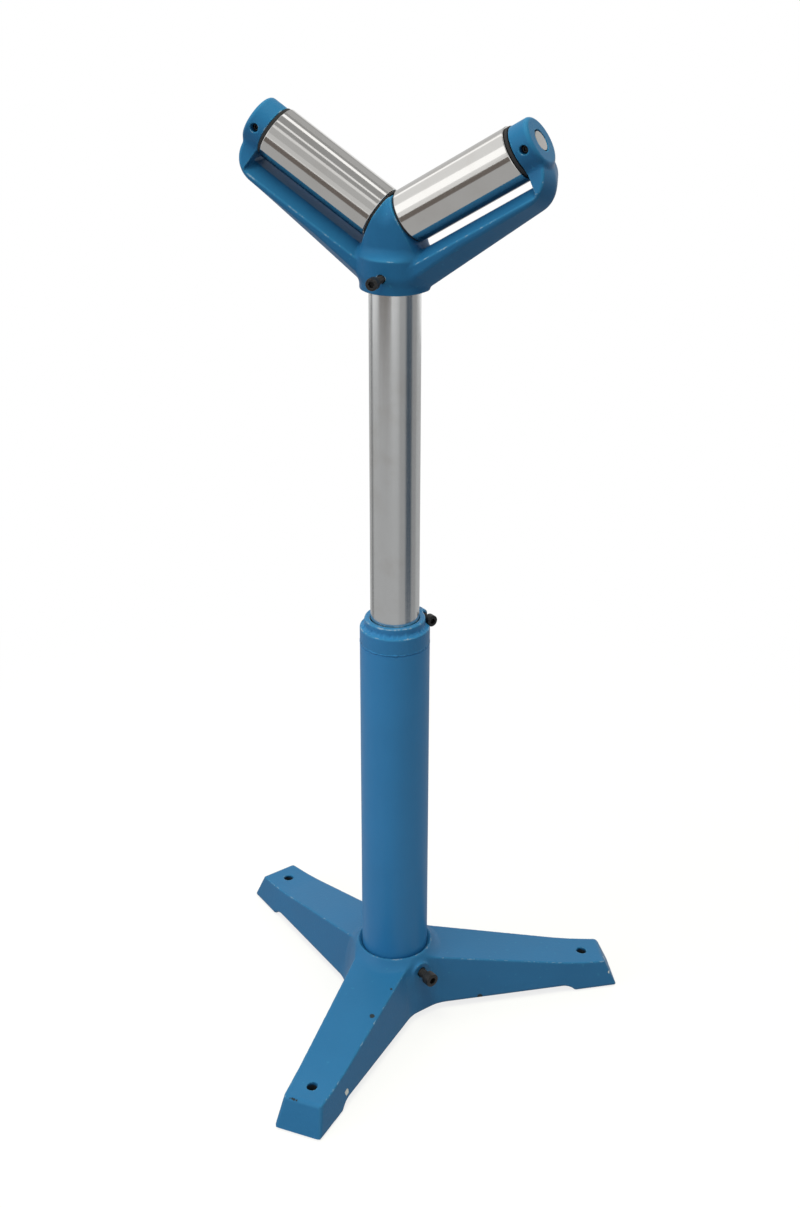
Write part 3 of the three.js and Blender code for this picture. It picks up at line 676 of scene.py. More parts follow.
def arm_field(t, h, y):
    """A six-sided bar that turns up into its lug, and a round boss for the axle on the lug."""
    belly = np.interp(t, (belly_start, lug_inner), belly_slopes)
    keel = belly * (np.hypot(y, keel_round) - keel_round)
    below = (h + keel - arm_root + arm_fall * t) / np.hypot(1, belly)
    end = (t - lug_outer - lug_lean * h) / math.hypot(1, lug_lean)
    outer = common(below, end, arm_corner)
    neck = np.clip(neck_half + neck_flare * (h - neck_start), neck_half, arm_half)
    flank = np.where(h > 0, np.abs(y) - neck, np.hypot(y, h) - neck_half)
    bar = common(common(outer, flank, 2.5), -t - 3, 1)
    shoulder = arm_shoulder * np.maximum(np.abs(y) - arm_flat, 0)
    inside = common((h - arm_inner - shoulder) / math.hypot(1, arm_shoulder), t - lug_inner, 3)
    boss = common(common(np.hypot(y, h) - boss_radius, t - boss_face, 4), lug_inner - t, 1)
    return union(cut(bar, inside, 1.0), boss, 4)


def fin_field(x, y, z):
    """The fin between the rollers' ends, with a soft fold where its two faces meet."""
    soft_x = np.where(np.abs(x) < fold_round, (x**2 + fold_round**2) / (2 * fold_round), np.abs(x))
    t, h = vee_place(soft_x, z)
    crown = np.where(h < 0, np.hypot(y, h), np.abs(y)) - fin_half + fin_bulge * x**2
    fin = common(t - fin_face, crown, 0.8)
    foot = np.hypot(x, y) - fin_foot
    return common(common(fin, foot, 5), fin_bottom - z, 1)


def fork_field(x, y, z):
    t, h = vee_place(np.abs(x), z)
    radius = np.hypot(x, y)
    hub = common(radius - hub_radius, z - hub_top, 1.5)
    body = union(union(hub, fin_field(x, y, z), 12), arm_field(t, h, y), 4)
    body = common(body, hub_bottom - z, 1)
    body = cut(body, np.maximum(radius - hub_bore, z - hub_bore_top), 0.8)
    body = cut(body, np.maximum(np.hypot(y, h) - axle_hole, axle_seat - t), 0.7)
    body = cut(body, np.maximum(np.hypot(t - grub_place, h) - screw_hole, y), 0.7)
    return cut(body, np.maximum(np.hypot(x, z - pinch_height) - screw_hole, y), 0.7)


# The fork's coat is deeper as painted shade: its front faces get less light.
fork_coat = {"painted_light_level": 0.85, "gloss": 0.11, "peel_scale": 380.0, "peel_depth": 0.00010, "edge_wear_and_highlight": 0.25}
fork_enamel = enamel("fork_enamel", **fork_coat)
corner_room = (7, 0, 0)
fork = cast_piece("fork_casting", fork_field, "head_casting", 1.15, fork_enamel, corner_room)
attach(fork, "head")
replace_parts(fork, "head_casting")

# %% [markdown]
# ## The clamp collar
# A flange sits on the tube, a thinner ring stands on it, and an ear with a slit takes the pinch
# screw. The ring was welded on by hand: its fillet is lumpy. The field gets that from a fillet
# radius that wanders with the angle, as a sum of a few waves that don't repeat together. The ring
# ends a hair lower than in the frame, so that the fork can come to rest on it without cutting in.

# %% Collar
flange_bottom = span("column_tube", "z")[1] + 0.3
flange_top = flange_bottom + 18.6
stop_gap = 0.3
collar_top = span("column_collar", "z")[1] - stop_gap
spigot_bottom = span("column_collar", "z")[0]
flange_radius = 38.0
ring_radius = 33.0
collar_bore = 27.0
spigot_radius = 32.7
ear_angle = math.radians(60)
ear_reach = 40.5
ear_width = 12.0
ear_depth = 16.0
ear_half = 6.0
ear_screw_out = 35.6
ear_screw_height = joints["collar_screw_turn"]["pos_m"][2] / MM
ear_shank = 20.0
ear_head_room = 6.9
slit_half = 0.7
slit_start = 15.0
slit_depth = 8.0
bead_waves = ((7, 1), (17, 2.2), (29, 0), (43, 4))


def lumps(angle):
    """Between 0 and 1, uneven round the ring, as a hand-laid bead is."""
    return 0.5 + sum(np.sin(count * angle + start) for count, start in bead_waves) / 8


def collar_field(x, y, z):
    radius = np.hypot(x, y)
    flange = common(common(radius - flange_radius, z - flange_top, 1.8), flange_bottom - z, 1.2)
    ring = common(common(radius - ring_radius, z - collar_top, 1.8), flange_bottom - z, 1)
    bead = union(flange, ring, 2.0 + 4.0 * lumps(np.arctan2(y, x)))
    spigot = common(radius - spigot_radius, between(z, spigot_bottom, flange_top - 4), 0.8)
    out = x * math.cos(ear_angle) + y * math.sin(ear_angle)
    over = x * math.sin(ear_angle) - y * math.cos(ear_angle)
    ear_side = between(z, collar_top - ear_depth, collar_top)
    ear_box = common(ear_side, between(out, ear_reach - ear_width, ear_reach), 5)
    ear = common(ear_box, np.abs(over) - ear_half, 2)
    body = union(union(bead, spigot, 0.5), ear, 4)
    body = cut(body, radius - collar_bore, 1.0)
    slit_end = np.maximum(slit_start - out, flange_top - slit_depth - z)
    body = cut(body, np.maximum(np.abs(over) - slit_half, slit_end), 0.4)
    off = np.hypot(out - ear_screw_out, z - ear_screw_height)
    shank_room = np.maximum(off - screw_hole, np.abs(over) - ear_shank)
    head_room = np.maximum(off - ear_head_room, ear_half - over)
    return cut(body, np.minimum(shank_room, head_room), 0.4)


# Dark spots in the collar's pits: painted shade in the dents.
collar_pit_shade = [
    ((-0.0361, 0.0495, 0.4850), 0.0013),
    ((-0.0173, 0.0264, 0.4862), 0.0011),
    ((-0.0250, 0.0330, 0.4852), 0.0010),
    ((-0.0019, 0.0217, 0.4857), 0.0009),
    ((-0.0291, 0.0300, 0.4695), 0.0010),
]
# The collar's coat is paler as painted light.
collar_coat = {"painted_light_level": 1.25, "gloss": 0.25, "peel_scale": 420.0, "peel_depth": 0.00012, "edge_wear_and_highlight": 0.3}
collar_enamel = enamel("collar_enamel", **collar_coat, hollow_shade_spots=collar_pit_shade)
collar = cast_piece("clamp_collar", collar_field, "column_collar", 0.8, collar_enamel)
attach(collar, "base")
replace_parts(collar, "column_collar")

# %% [markdown]
# ## A lathe made of geometry nodes
# Tubes, rollers, axles, seals and screws are all turned: an outline that goes round an axis. The
# tree below takes that outline as points, wraps a grid round it, and can press three things into
# the surface where the outline asks for them: a thread, a knurl and a six-sided key socket.
# A Screw modifier would turn the plain pieces too, but not the screws. One tree does them all.

# %% Lathe tree
lathe_inputs = {
    "Outline": GEOMETRY,
    "Steps": COUNT,
    "Pitch": FLOAT,
    "Thread Depth": FLOAT,
    "Knurls": COUNT,
    "Knurl Depth": FLOAT,
    "Finish": MATERIAL,
}
lathe, lathe_in, lathe_out = new_group("lathe", SHAPING, lathe_inputs, {"Piece": GEOMETRY})


def from_outline(value, kind):
    """Value of the outline point that a grid point stands for; the grid runs along it first."""
    inputs = {"Geometry": lathe_in["Outline"], "Value": value, "Index": row}
    return put(lathe, "GeometryNodeSampleIndex", inputs, data_type=kind).outputs[0]


def outline_mark(name):
    mark = put(lathe, "GeometryNodeInputNamedAttribute", {"Name": name}, data_type="FLOAT")
    return from_outline(mark.outputs[0], "FLOAT")


rows = put(lathe, "GeometryNodeAttributeDomainSize", {0: lathe_in["Outline"]}).outputs["Point Count"]
index = put(lathe, "GeometryNodeInputIndex").outputs[0]
row = reckon(lathe, "FLOORED_MODULO", index, rows)
column = reckon(lathe, "FLOOR", reckon(lathe, "DIVIDE", index, rows))
share = reckon(lathe, "DIVIDE", column, lathe_in["Steps"])
angle = reckon(lathe, "MULTIPLY", share, math.tau)
around = reckon(lathe, "ADD", lathe_in["Steps"], 1.0)
grid = put(lathe, "GeometryNodeMeshGrid", {"Vertices X": around, "Vertices Y": rows}).outputs["Mesh"]
place = put(lathe, "GeometryNodeInputPosition").outputs[0]
point = put(lathe, "ShaderNodeSeparateXYZ", {0: from_outline(place, "FLOAT_VECTOR")}).outputs
turns = reckon(lathe, "SUBTRACT", reckon(lathe, "DIVIDE", point["Z"], lathe_in["Pitch"]), share)
groove = reckon(lathe, "PINGPONG", turns, 0.5)
thread = reckon(lathe, "MULTIPLY", reckon(lathe, "MULTIPLY", groove, 2.0), lathe_in["Thread Depth"])
ridge_turns = reckon(lathe, "MULTIPLY", share, lathe_in["Knurls"])
ridges = reckon(lathe, "MULTIPLY", reckon(lathe, "PINGPONG", ridge_turns, 0.5), 2.0)
knurl = reckon(lathe, "MULTIPLY", ridges, lathe_in["Knurl Depth"])
sixth = math.radians(60)
off_flat = reckon(lathe, "SUBTRACT", reckon(lathe, "FLOORED_MODULO", angle, sixth), sixth / 2)
hexagon = reckon(lathe, "DIVIDE", 1.0, reckon(lathe, "COSINE", off_flat))
past_flat = reckon(lathe, "SUBTRACT", hexagon, 1.0)
keyed = reckon(lathe, "MULTIPLY_ADD", past_flat, outline_mark("key"), 1.0)
radius = reckon(lathe, "MULTIPLY", point["X"], keyed)
radius = reckon(lathe, "SUBTRACT", radius, reckon(lathe, "MULTIPLY", thread, outline_mark("thread")))
radius = reckon(lathe, "SUBTRACT", radius, reckon(lathe, "MULTIPLY", knurl, outline_mark("knurl")))
spun = put(lathe, "ShaderNodeCombineXYZ", {
    0: reckon(lathe, "MULTIPLY", radius, reckon(lathe, "COSINE", angle)),
    1: reckon(lathe, "MULTIPLY", radius, reckon(lathe, "SINE", angle)),
    2: point["Z"],
}).outputs[0]
wrapped = put(lathe, "GeometryNodeSetPosition", {"Geometry": grid, "Position": spun}).outputs[0]
seam = {"Geometry": wrapped, "Distance": 1e-6}
closed = put(lathe, "GeometryNodeMergeByDistance", seam).outputs[0]
finish_shape(lathe, closed, lathe_in["Finish"], lathe_out["Piece"])
print("lathe tree:", len(lathe.nodes), "nodes")


# %% Turning a piece
def shaped(thing, tree, values):
    """Runs a geometry tree on an object and keeps the plain mesh that it makes."""
    step = thing.modifiers.new(tree.name, "NODES")
    step.node_group = tree
    for socket in tree.interface.items_tree:
        if socket.in_out == "INPUT" and socket.name in values:
            step[socket.identifier] = values[socket.name]
    evaluated = thing.evaluated_get(bpy.context.evaluated_depsgraph_get())
    mesh = bpy.data.meshes.new_from_object(evaluated)
    thing.modifiers.clear()
    thing.data = mesh
    return mesh


def steady_normals(mesh):
    """Normals weighted by area, so that wide faces stay flat and narrow edge bands take the turn."""
    area = np.empty(len(mesh.polygons))
    mesh.polygons.foreach_get("area", area)
    facing = np.empty(len(mesh.polygons) * 3)
    mesh.polygons.foreach_get("normal", facing)
    facing = facing.reshape(-1, 3) * area[:, None]
    corner_count = np.empty(len(mesh.polygons), int)
    mesh.polygons.foreach_get("loop_total", corner_count)
    owner = np.repeat(np.arange(len(mesh.polygons)), corner_count)
    corner = np.empty(len(mesh.loops), int)
    mesh.loops.foreach_get("vertex_index", corner)
    total = np.stack([np.bincount(corner, facing[owner, axis]) for axis in range(3)], axis=1)
    total /= np.maximum(np.linalg.norm(total, axis=1, keepdims=True), 1e-20)
    mesh.normals_split_custom_set_from_vertices(total.tolist())


def softened(outline, radius, segments=4):
    """The outline with every inner corner rounded off by an arc; the two end points stay."""
    points = [Vector(point) for point in outline]
    result = [points[0]]
    for before, corner, after in zip(points, points[1:], points[2:]):
        back = before - corner
        ahead = after - corner
        reach = min(radius, 0.45 * back.length, 0.45 * ahead.length)
        start = corner + back.normalized() * reach
        end = corner + ahead.normalized() * reach
        for number in range(segments + 1):
            share = number / segments
            result.append(start.lerp(corner, share).lerp(corner.lerp(end, share), share))
    return result + [points[-1]]


def turned(name, outline, finish, place, steps=128, marks=None, **sizes):
    """A turned piece in the frame; the outline holds (radius, height) pairs in millimetres."""
    mesh = bpy.data.meshes.new(name)
    mesh.from_pydata([(r * MM, 0, z * MM) for r, z in outline], [], [])
    for label in ("thread", "knurl", "key"):
        values = (marks or {}).get(label, [0.0] * len(outline))
        mesh.attributes.new(label, "FLOAT", "POINT").data.foreach_set("value", values)
    piece = link(bpy.data.objects.new(name, mesh))
    made = shaped(piece, lathe, {"Steps": steps, "Pitch": MM, "Finish": finish, **sizes})
    spot = np.empty(len(made.vertices) * 3)
    made.vertices.foreach_get("co", spot)
    made.attributes.new("lathe", "FLOAT_VECTOR", "POINT").data.foreach_set("vector", spot)
    made.transform(place)
    steady_normals(made)
    print(name, "has", len(made.polygons), "faces")
    return piece


def aimed(way, foot):
    """Stands the lathe's axis on a point of the column's axis, in millimetres, along a direction."""
    turn = Vector(way).to_track_quat("Z", "Y").to_matrix().to_4x4()
    return Matrix.Translation(axis_foot + Vector((0, 0, foot * MM))) @ turn


FRONT = (0, -1, 0)
upright = aimed((0, 0, 1), 0)
print("pieces can be turned")

# %% [markdown]
# ## Column and post
# The column is a painted tube; its top edge is ground back for the weld under the collar. The post
# is a bright tube that runs in the collar. Below the part that shows, it is necked down for a guide
# bush, which a circlip holds, so the outline has that neck and groove as well.

# %% Column and post
tube_radius = flange_radius
tube_bore = 33.0
tube_foot, tube_head = span("column_tube", "z")
weld_groove = 2.0
tube_outline = [
    (tube_bore, tube_foot),
    (tube_radius, tube_foot),
    (tube_radius, tube_head - weld_groove),
    (tube_radius - weld_groove, tube_head),
    (tube_bore, tube_head),
    (tube_bore, tube_foot),
]
# The column's coat is paler as painted light.
tube_coat = {"painted_light_level": 1.38, "gloss": 0.25, "peel_scale": 480.0, "peel_depth": 0.00005, "edge_wear_and_highlight": 0.0}
tube_enamel = enamel("tube_enamel", **tube_coat)
column_piece = turned("column_painted_tube", softened(tube_outline, 0.6), tube_enamel, upright)
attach(column_piece, "base")
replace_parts(column_piece, "column_tube")

post_radius = span("post_tube", "x")[1]
post_bore = post_radius - 4.0
post_foot, post_head = span("post_tube", "z")
neck_radius = 25.0
neck_top = span("post_guide_bush", "z")[1] + 0.3
clip_room = 0.3
clip_low = span("guide_circlip", "z")[0] - clip_room
clip_high = span("guide_circlip", "z")[1] + clip_room
clip_floor = neck_radius - 1.2
post_outline = [
    (post_bore, post_foot),
    (neck_radius, post_foot),
    (neck_radius, clip_low),
    (clip_floor, clip_low),
    (clip_floor, clip_high),
    (neck_radius, clip_high),
    (neck_radius, neck_top),
    (post_radius, neck_top),
    (post_radius, post_head),
    (post_bore, post_head),
    (post_bore, post_foot),
]
post = turned("post_bright_tube", softened(post_outline, 0.5), post_steel, upright)
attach(post, "post")
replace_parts(post, "post_tube")

# %% [markdown]
# ## Rollers, axles and seals
# Each roller is a ground steel tube on two ball bearings. A rubber seal closes each end, and the
# fixed axle goes through the lug, where its turned end shows. All of them turn on the same line,
# so one loop makes both sides.

# %% Rollers
roller_radius = 27.5
roller_bore = 23.8
roller_start = 19.3
roller_end = 148.6
axle_radius = 10.0
axle_start = 8.0
axle_end = 173.3
seal_bore = 14.6
seal_radius = 26.0
inner_seal = (17.0, 19.0)
outer_seal = (148.9, 152.1)


def ring_outline(inner, outer, low, high):
    return [(inner, low), (outer, low), (outer, high), (inner, high), (inner, low)]


def seal_outline(low, high):
    """A rubber washer with a shallow groove in its outer face, as moulded seals have."""
    middle = (seal_bore + seal_radius) / 2
    sunk = high - 0.25 * (high - low)
    groove = [(middle + 3, high), (middle + 2, sunk), (middle - 2, sunk), (middle - 3, high)]
    rim = [(seal_bore, low), (seal_radius, low), (seal_radius, high)]
    return [*rim, *groove, (seal_bore, high), (seal_bore, low)]


axle_outline = [(0, axle_start), (axle_radius, axle_start), (axle_radius, axle_end), (0, axle_end)]
for side in ("right", "left"):
    roller_line = aimed(joints[f"{side}_roller_spin"]["axis"], crossing)
    shell_outline = softened(ring_outline(roller_bore, roller_radius, roller_start, roller_end), 0.9)
    shell = turned(f"{side}_roller_tube", shell_outline, roller_steel, roller_line, 160)
    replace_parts(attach(shell, f"{side}_roller"), f"{side}_roller_shell")
    axle = turned(f"{side}_turned_axle", softened(axle_outline, 1.0), axle_steel, roller_line, 96)
    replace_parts(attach(axle, "head"), f"{side}_axle")
    for end, (low, high) in {"inner": inner_seal, "outer": outer_seal}.items():
        outline = softened(seal_outline(low, high), 0.4)
        seal = turned(f"{side}_{end}_rubber_seal", outline, seal_rubber, roller_line, 96)
        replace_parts(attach(seal, f"{side}_roller"), f"{side}_{end}_seal")

# %% [markdown]
# ## Screws
# Three socket-head cap screws clamp the column, the post and the fork, and a headless screw in each
# lug locks the axle. Their outline starts at the tip and ends at the bottom of the key socket. Marks
# along it say where the thread, the knurl and the socket are, and the lathe tree does the rest.

# %% Screw outlines
def with_marks(runs):
    """Joins runs of (mark, points) into one outline and the list of marks that goes with it."""
    outline = [point for _, points in runs for point in points]
    marks = {}
    for label in ("thread", "knurl", "key"):
        marks[label] = [1.0 if mark == label else 0.0 for mark, points in runs for _ in points]
    return outline, marks


def key_points(key_half, top, depth):
    floor = top - depth
    return [(key_half, top), (key_half, top - 0.3), (key_half, floor), (key_half * 0.9, floor)]


def threaded(radius, low, high, pitch):
    count = int((high - low) / pitch * 6)
    return [(radius, low + (high - low) * number / count) for number in range(count + 1)]


def thread_sizes(pitch):
    return {"Pitch": pitch * MM, "Thread Depth": 0.5 * pitch * MM}


def cap_screw(name, radius, pitch, tip, seat, way, foot):
    """Cap screw along a way from the column's axis; its head is as high as the shank is thick."""
    top = seat + 2 * radius
    head = radius * 1.6
    rim = 0.12 * radius
    side_points = [(head, seat + rim + (top - seat - 3 * rim) * share) for share in (0, 0.3, 0.6, 1)]
    runs = [
        ("plain", [(0, tip), (radius * 0.75, tip)]),
        ("thread", threaded(radius, tip + 0.25 * radius, seat - 0.4 * radius, pitch)),
        ("plain", [(radius, seat - 0.2 * radius), (radius, seat), (head - rim, seat)]),
        ("knurl", side_points),
        ("plain", [(head - 0.3 * rim, top - 0.7 * rim), (head - rim, top), (radius * 1.05, top)]),
        ("key", key_points(radius * 0.75, top, radius)),
        ("plain", [(0, top - 1.15 * radius)]),
    ]
    outline, marks = with_marks(runs)
    sizes = {**thread_sizes(pitch), "Knurls": 36, "Knurl Depth": 0.05 * radius * MM}
    return turned(name, outline, black_oxide, aimed(way, foot), 144, marks, **sizes)


print("screw outlines ready")

# %% Clamp screws
ten_mm = {"radius": 5.0, "pitch": 1.5}
eight_mm = {"radius": 4.0, "pitch": 1.25}
base_way = {"way": clamp_way, "foot": clamp_height}
base_screw = cap_screw("base_cap_screw", **ten_mm, tip=38.3, seat=63.0, **base_way)
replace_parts(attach(base_screw, "base_clamp"), "base_screw")

pinch_way = {"way": FRONT, "foot": pinch_height}
pinch_screw = cap_screw("head_cap_screw", **eight_mm, tip=26.9, seat=50.5, **pinch_way)
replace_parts(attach(pinch_screw, "head_clamp"), "head_screw")

ear_way = {"way": clamp_way, "foot": ear_screw_height}
ear_screw = cap_screw("collar_cap_screw", **eight_mm, tip=-5.7, seat=13.0, **ear_way)
ear_shift = Vector((math.cos(ear_angle), math.sin(ear_angle), 0)) * ear_screw_out * MM
ear_screw.data.transform(Matrix.Translation(ear_shift))
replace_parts(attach(ear_screw, "collar_clamp"), "collar_screw")

# %% Axle locking screws
grub_radius, grub_pitch = eight_mm["radius"], eight_mm["pitch"]
grub_tip = 10.3
grub_top = 19.3
grub_runs = [
    ("plain", [(0, grub_tip), (grub_radius * 0.7, grub_tip)]),
    ("thread", threaded(grub_radius, grub_tip + 0.8, grub_top - 0.6, grub_pitch)),
    ("plain", [(grub_radius * 0.85, grub_top), (grub_radius * 0.7, grub_top)]),
    ("key", key_points(grub_radius * 0.5, grub_top, grub_radius * 0.8)),
    ("plain", [(0, grub_top - grub_radius)]),
]
grub_outline, grub_marks = with_marks(grub_runs)
grub_sizes = thread_sizes(grub_pitch)
for side in ("right", "left"):
    lug_shift = Vector(joints[f"{side}_roller_spin"]["axis"]) * grub_place * MM
    stand = Matrix.Translation(lug_shift) @ aimed(FRONT, crossing)
    grub_name = f"{side}_grub_screw"
    grub = turned(grub_name, grub_outline, black_oxide, stand, 72, grub_marks, **grub_sizes)
    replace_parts(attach(grub, "head"), f"{side}_axle_set_screw")

# %% [markdown]
# ## The weld under the collar
# A thin bead joins the flange to the tube. It was laid by hand and painted over, so it wanders a
# little and has ripples. A circle that is swept with a small round section follows that path, and
# noise on the path and on the section's size gives the wander and the ripples.

# %% Weld bead tree
bead_inputs = {
    "Empty": GEOMETRY,
    "Radius": FLOAT,
    "Height": FLOAT,
    "Thickness": FLOAT,
    "Wander": FLOAT,
    "Lump": VECTOR,
    "Ripple Scale": FLOAT,
    "Finish": MATERIAL,
}
bead, bead_in, bead_out = new_group("weld_bead", SHAPING, bead_inputs, {"Piece": GEOMETRY})
circle_inputs = {"Resolution": 720, "Radius": bead_in["Radius"]}
circle = put(bead, "GeometryNodeCurvePrimitiveCircle", circle_inputs).outputs["Curve"]
path_place = put(bead, "GeometryNodeInputPosition").outputs[0]
drift = reckon(bead, "SUBTRACT", noise(bead, path_place, 90.0, 1.0), 0.5)
lift = reckon(bead, "MULTIPLY_ADD", drift, bead_in["Wander"], bead_in["Height"])
rise = put(bead, "ShaderNodeCombineXYZ", {2: lift}).outputs[0]
path = put(bead, "GeometryNodeSetPosition", {"Geometry": circle, "Offset": rise}).outputs[0]
ripple = noise(bead, path_place, bead_in["Ripple Scale"], 2.0)
swell = stepped(bead, ripple, 0.3, 0.75, 0.7, 1.35)
lump_gap = reckon_vector(bead, "DISTANCE", path_place, bead_in["Lump"])["Value"]
lump = stepped(bead, lump_gap, 0.001, 0.005, 1.0, 0.0)
swell = reckon(bead, "MULTIPLY_ADD", lump, 1.1, swell)
section_inputs = {"Resolution": 12, "Radius": bead_in["Thickness"]}
section = put(bead, "GeometryNodeCurvePrimitiveCircle", section_inputs)
sweep = {"Curve": path, "Profile Curve": section.outputs["Curve"], "Scale": swell}
swept = put(bead, "GeometryNodeCurveToMesh", sweep).outputs[0]
finish_shape(bead, swept, bead_in["Finish"], bead_out["Piece"])
print("weld tree:", len(bead.nodes), "nodes")

# %% Weld bead
weld = link(bpy.data.objects.new("collar_weld_bead", bpy.data.meshes.new("collar_weld_bead")))
weld_values = {
    "Radius": (tube_radius - 0.7) * MM,
    "Height": (tube_head + flange_bottom) / 2 * MM,
    "Thickness": 1.1 * MM,
    "Wander": 1.2 * MM,
    "Lump": (0.0112, -0.0365, 0.0),
    "Ripple Scale": 260.0,
    "Finish": collar_enamel,
}
weld_mesh = shaped(weld, bead, weld_values)
weld_mesh.transform(upright)
steady_normals(weld_mesh)
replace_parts(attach(weld, "base"), "collar_weld")
print("weld bead has", len(weld_mesh.polygons), "faces")

# %% [markdown]
# ## Pieces that stay as the frame has them
# Bearings, spacers, the guide bush and its circlip lie inside the stand. Their shapes are right as
# they are, so they only get their finish.

# %% Hidden pieces
hidden_finishes = {
    "bearing": bearing_steel,
    "spacer": bearing_steel,
    "bush": guide_nylon,
    "circlip": black_oxide,
}
for name, node in frame["nodes"].items():
    for word, finish in hidden_finishes.items():
        if word in name:
            node.data.materials.clear()
            node.data.materials.append(finish)
print("hidden pieces finished")

# %% [markdown]
# ## Studio
# The stand is on a white sweep under broad soft lamps. The floor and the world are white to the
# camera and to the metal, but a part of the floor's white is real light, so that it keeps the
# shadow. The floor sends up less light than it shows, or the undersides would be too pale. Bright
# steel in a white room would be a white blank, so dark and light cards stand round the stand, as a
# product photographer has them, that only reflections can see.

# %% Floor and world
def seen_directly(tree):
    """1 for rays that look at the backdrop, in a mirror or through glass too, and 0 for light."""
    path = put(tree, "ShaderNodeLightPath").outputs
    seen = reckon(tree, "ADD", path["Is Camera Ray"], path["Is Glossy Ray"])
    return reckon(tree, "MINIMUM", reckon(tree, "ADD", seen, path["Is Transmission Ray"]), 1.0)


def sheet(name, width, height):
    """A flat rectangle round the origin, and its material's node tree, still without a shader."""
    mesh = bpy.data.meshes.new(name)
    square = ((-1, -1), (1, -1), (1, 1), (-1, 1))
    mesh.from_pydata([(x * width / 2, y * height / 2, 0) for x, y in square], [], [(0, 1, 2, 3)])
    material, tree, shader = new_material(name)
    tree.nodes.remove(shader)
    mesh.materials.append(material)
    return mesh, tree


def show(tree, shader):
    tree.links.new(shader.outputs[0], tree.nodes["Material Output"].inputs["Surface"])


floor_width = 120.0
floor_drop = 0.0005
shadow_start, shadow_reach = 0.3, 1.2
floor_mesh, floor_tree = sheet("floor", floor_width, floor_width)
floor_mesh.transform(Matrix.Translation((0, 0, -floor_drop)))
floor = link(bpy.data.objects.new("floor", floor_mesh))
floor_level = reckon(floor_tree, "MULTIPLY_ADD", seen_directly(floor_tree), 0.44, 0.42)
lit = put(floor_tree, "ShaderNodeBsdfDiffuse", {"Color": floor_level}).outputs[0]
glow = put(floor_tree, "ShaderNodeEmission", {"Color": (1, 1, 1, 1), "Strength": 1.0}).outputs[0]
from_stand = reckon_vector(floor_tree, "LENGTH", object_place(floor_tree))["Value"]
white_share = stepped(floor_tree, from_stand, shadow_start, shadow_reach, 0.8, 1.0)
glow_share = reckon(floor_tree, "MULTIPLY", seen_directly(floor_tree), white_share)
show(floor_tree, put(floor_tree, "ShaderNodeMixShader", {0: glow_share, 1: lit, 2: glow}))

world = bpy.data.worlds.new("studio")
bpy.context.scene.world = world
world.use_nodes = True
world_tree = world.node_tree
sky = world_tree.nodes["Background"]
sky_level = reckon(world_tree, "MULTIPLY_ADD", seen_directly(world_tree), 0.62, 0.38)
fill(world_tree, sky, {"Strength": sky_level}, Color=(1, 1, 1, 1))
print("floor and world ready")


# %% Lamps and cards
lamp_aim = (0, 0.05, 0.55)


def facing(place, target):
    way = Vector(target) - Vector(place)
    return Matrix.Translation(place) @ way.to_track_quat("-Z", "Y").to_matrix().to_4x4()


def lamp(name, place, size, watts, colour=(1, 1, 1)):
    """A soft square lamp that lights the stand but isn't seen in the steel."""
    light = bpy.data.lights.new(name, "AREA")
    light.size = size
    light.energy = watts
    light.color = colour
    thing = link(bpy.data.objects.new(name, light))
    thing.matrix_world = facing(place, lamp_aim)
    thing.visible_glossy = False


lamp("ceiling_lamp", (0.0, -0.3, 3.1), size=1.6, watts=82, colour=(1.0, 1.0, 0.74))
lamp("key_lamp", (-1.9, -1.9, 1.8), size=1.6, watts=36)
lamp("fill_lamp", (2.2, -1.6, 1.6), size=2.0, watts=6)
lamp("back_lamp", (-0.5, 2.2, 2.6), size=1.6, watts=18)


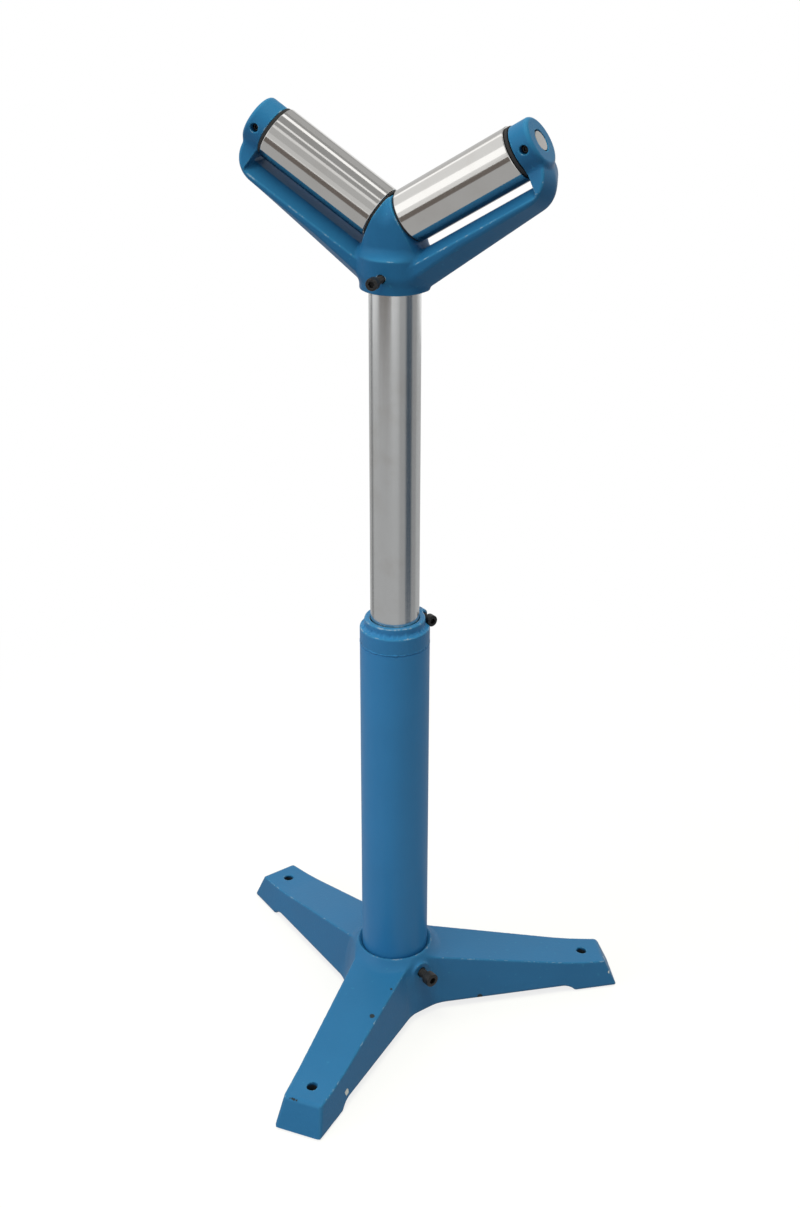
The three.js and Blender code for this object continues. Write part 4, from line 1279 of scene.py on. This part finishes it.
def card(name, place, target, width, height, colour):
    """A card that only reflections see: it casts no shadow and lights nothing that is dull."""
    mesh, tree = sheet(name, width, height)
    mesh.transform(facing(place, target))
    show(tree, put(tree, "ShaderNodeEmission", {"Color": (*colour, 1)}))
    thing = link(bpy.data.objects.new(name, mesh))
    thing.visible_camera = False
    thing.visible_diffuse = False
    thing.visible_shadow = False
    thing.visible_transmission = False


def grey(level):
    return (level, level, level)


def standing_card(name, bearing, far, low, high, spread, colour):
    """An upright card round the column: bearing and spread in degrees, the rest in metres."""
    turn = math.radians(bearing)
    way = Vector((math.cos(turn), math.sin(turn), 0))
    middle = axis_foot + Vector((0, 0, (low + high) / 2))
    width = 2 * far * math.tan(math.radians(spread / 2))
    card(name, middle + way * far, middle, width, high - low, colour)


card("floor_card", (0, 0, 0.0002), (0, 0, -1), 5.6, 5.6, grey(0.52))
card("ceiling_card", (0, -0.27, 2.6), (0, -0.27, 0), 3.4, 2.6, grey(0.42))
card("back_ceiling_card", (0, 1.9, 2.6), (0, 1.9, 0), 3.6, 1.7, grey(0.56))
card("front_strip", (0, -0.74, 2.55), (0, -0.74, 0), 3.2, 0.24, grey(1.2))
card("back_strip", (0, 0.36, 2.55), (0, 0.36, 0), 3.2, 0.36, grey(1.5))
standing_card("back_wall_card", 88, 2.75, 1.9, 2.7, 60, grey(0.48))
standing_card("left_back_card", 134, 2.75, 0.0, 2.6, 34, grey(0.70))
standing_card("left_strip", 157, 2.7, 2.1, 3.2, 11, grey(1.5))
standing_card("window_card", -140, 2.8, 1.45, 2.45, 44, grey(1.55))
standing_card("front_wall_card", -90, 3.2, 1.75, 3.3, 50, grey(0.60))
standing_card("front_low_card", -90, 3.2, 0.95, 1.75, 50, grey(0.76))
standing_card("dark_wall_card", -112, 2.7, 0.02, 0.80, 60, (0.20, 0.175, 0.16))
standing_card("dark_side_card", -3, 0.95, 0.0, 0.75, 30, (0.075, 0.10, 0.13))
standing_card("grey_side_card", -33, 0.97, 0.0, 0.75, 30, grey(0.40))
standing_card("far_side_card", 26, 0.97, 0.0, 0.75, 32, grey(0.36))
standing_card("left_edge_card", 170, 0.97, 0.0, 0.75, 16, grey(0.25))
print("lamps and cards ready")

# %% [markdown]
# ## Colour view
# The last line sets the scene's colour view to Standard.

# %% Finish
bpy.context.scene.view_settings.view_transform = "Standard"
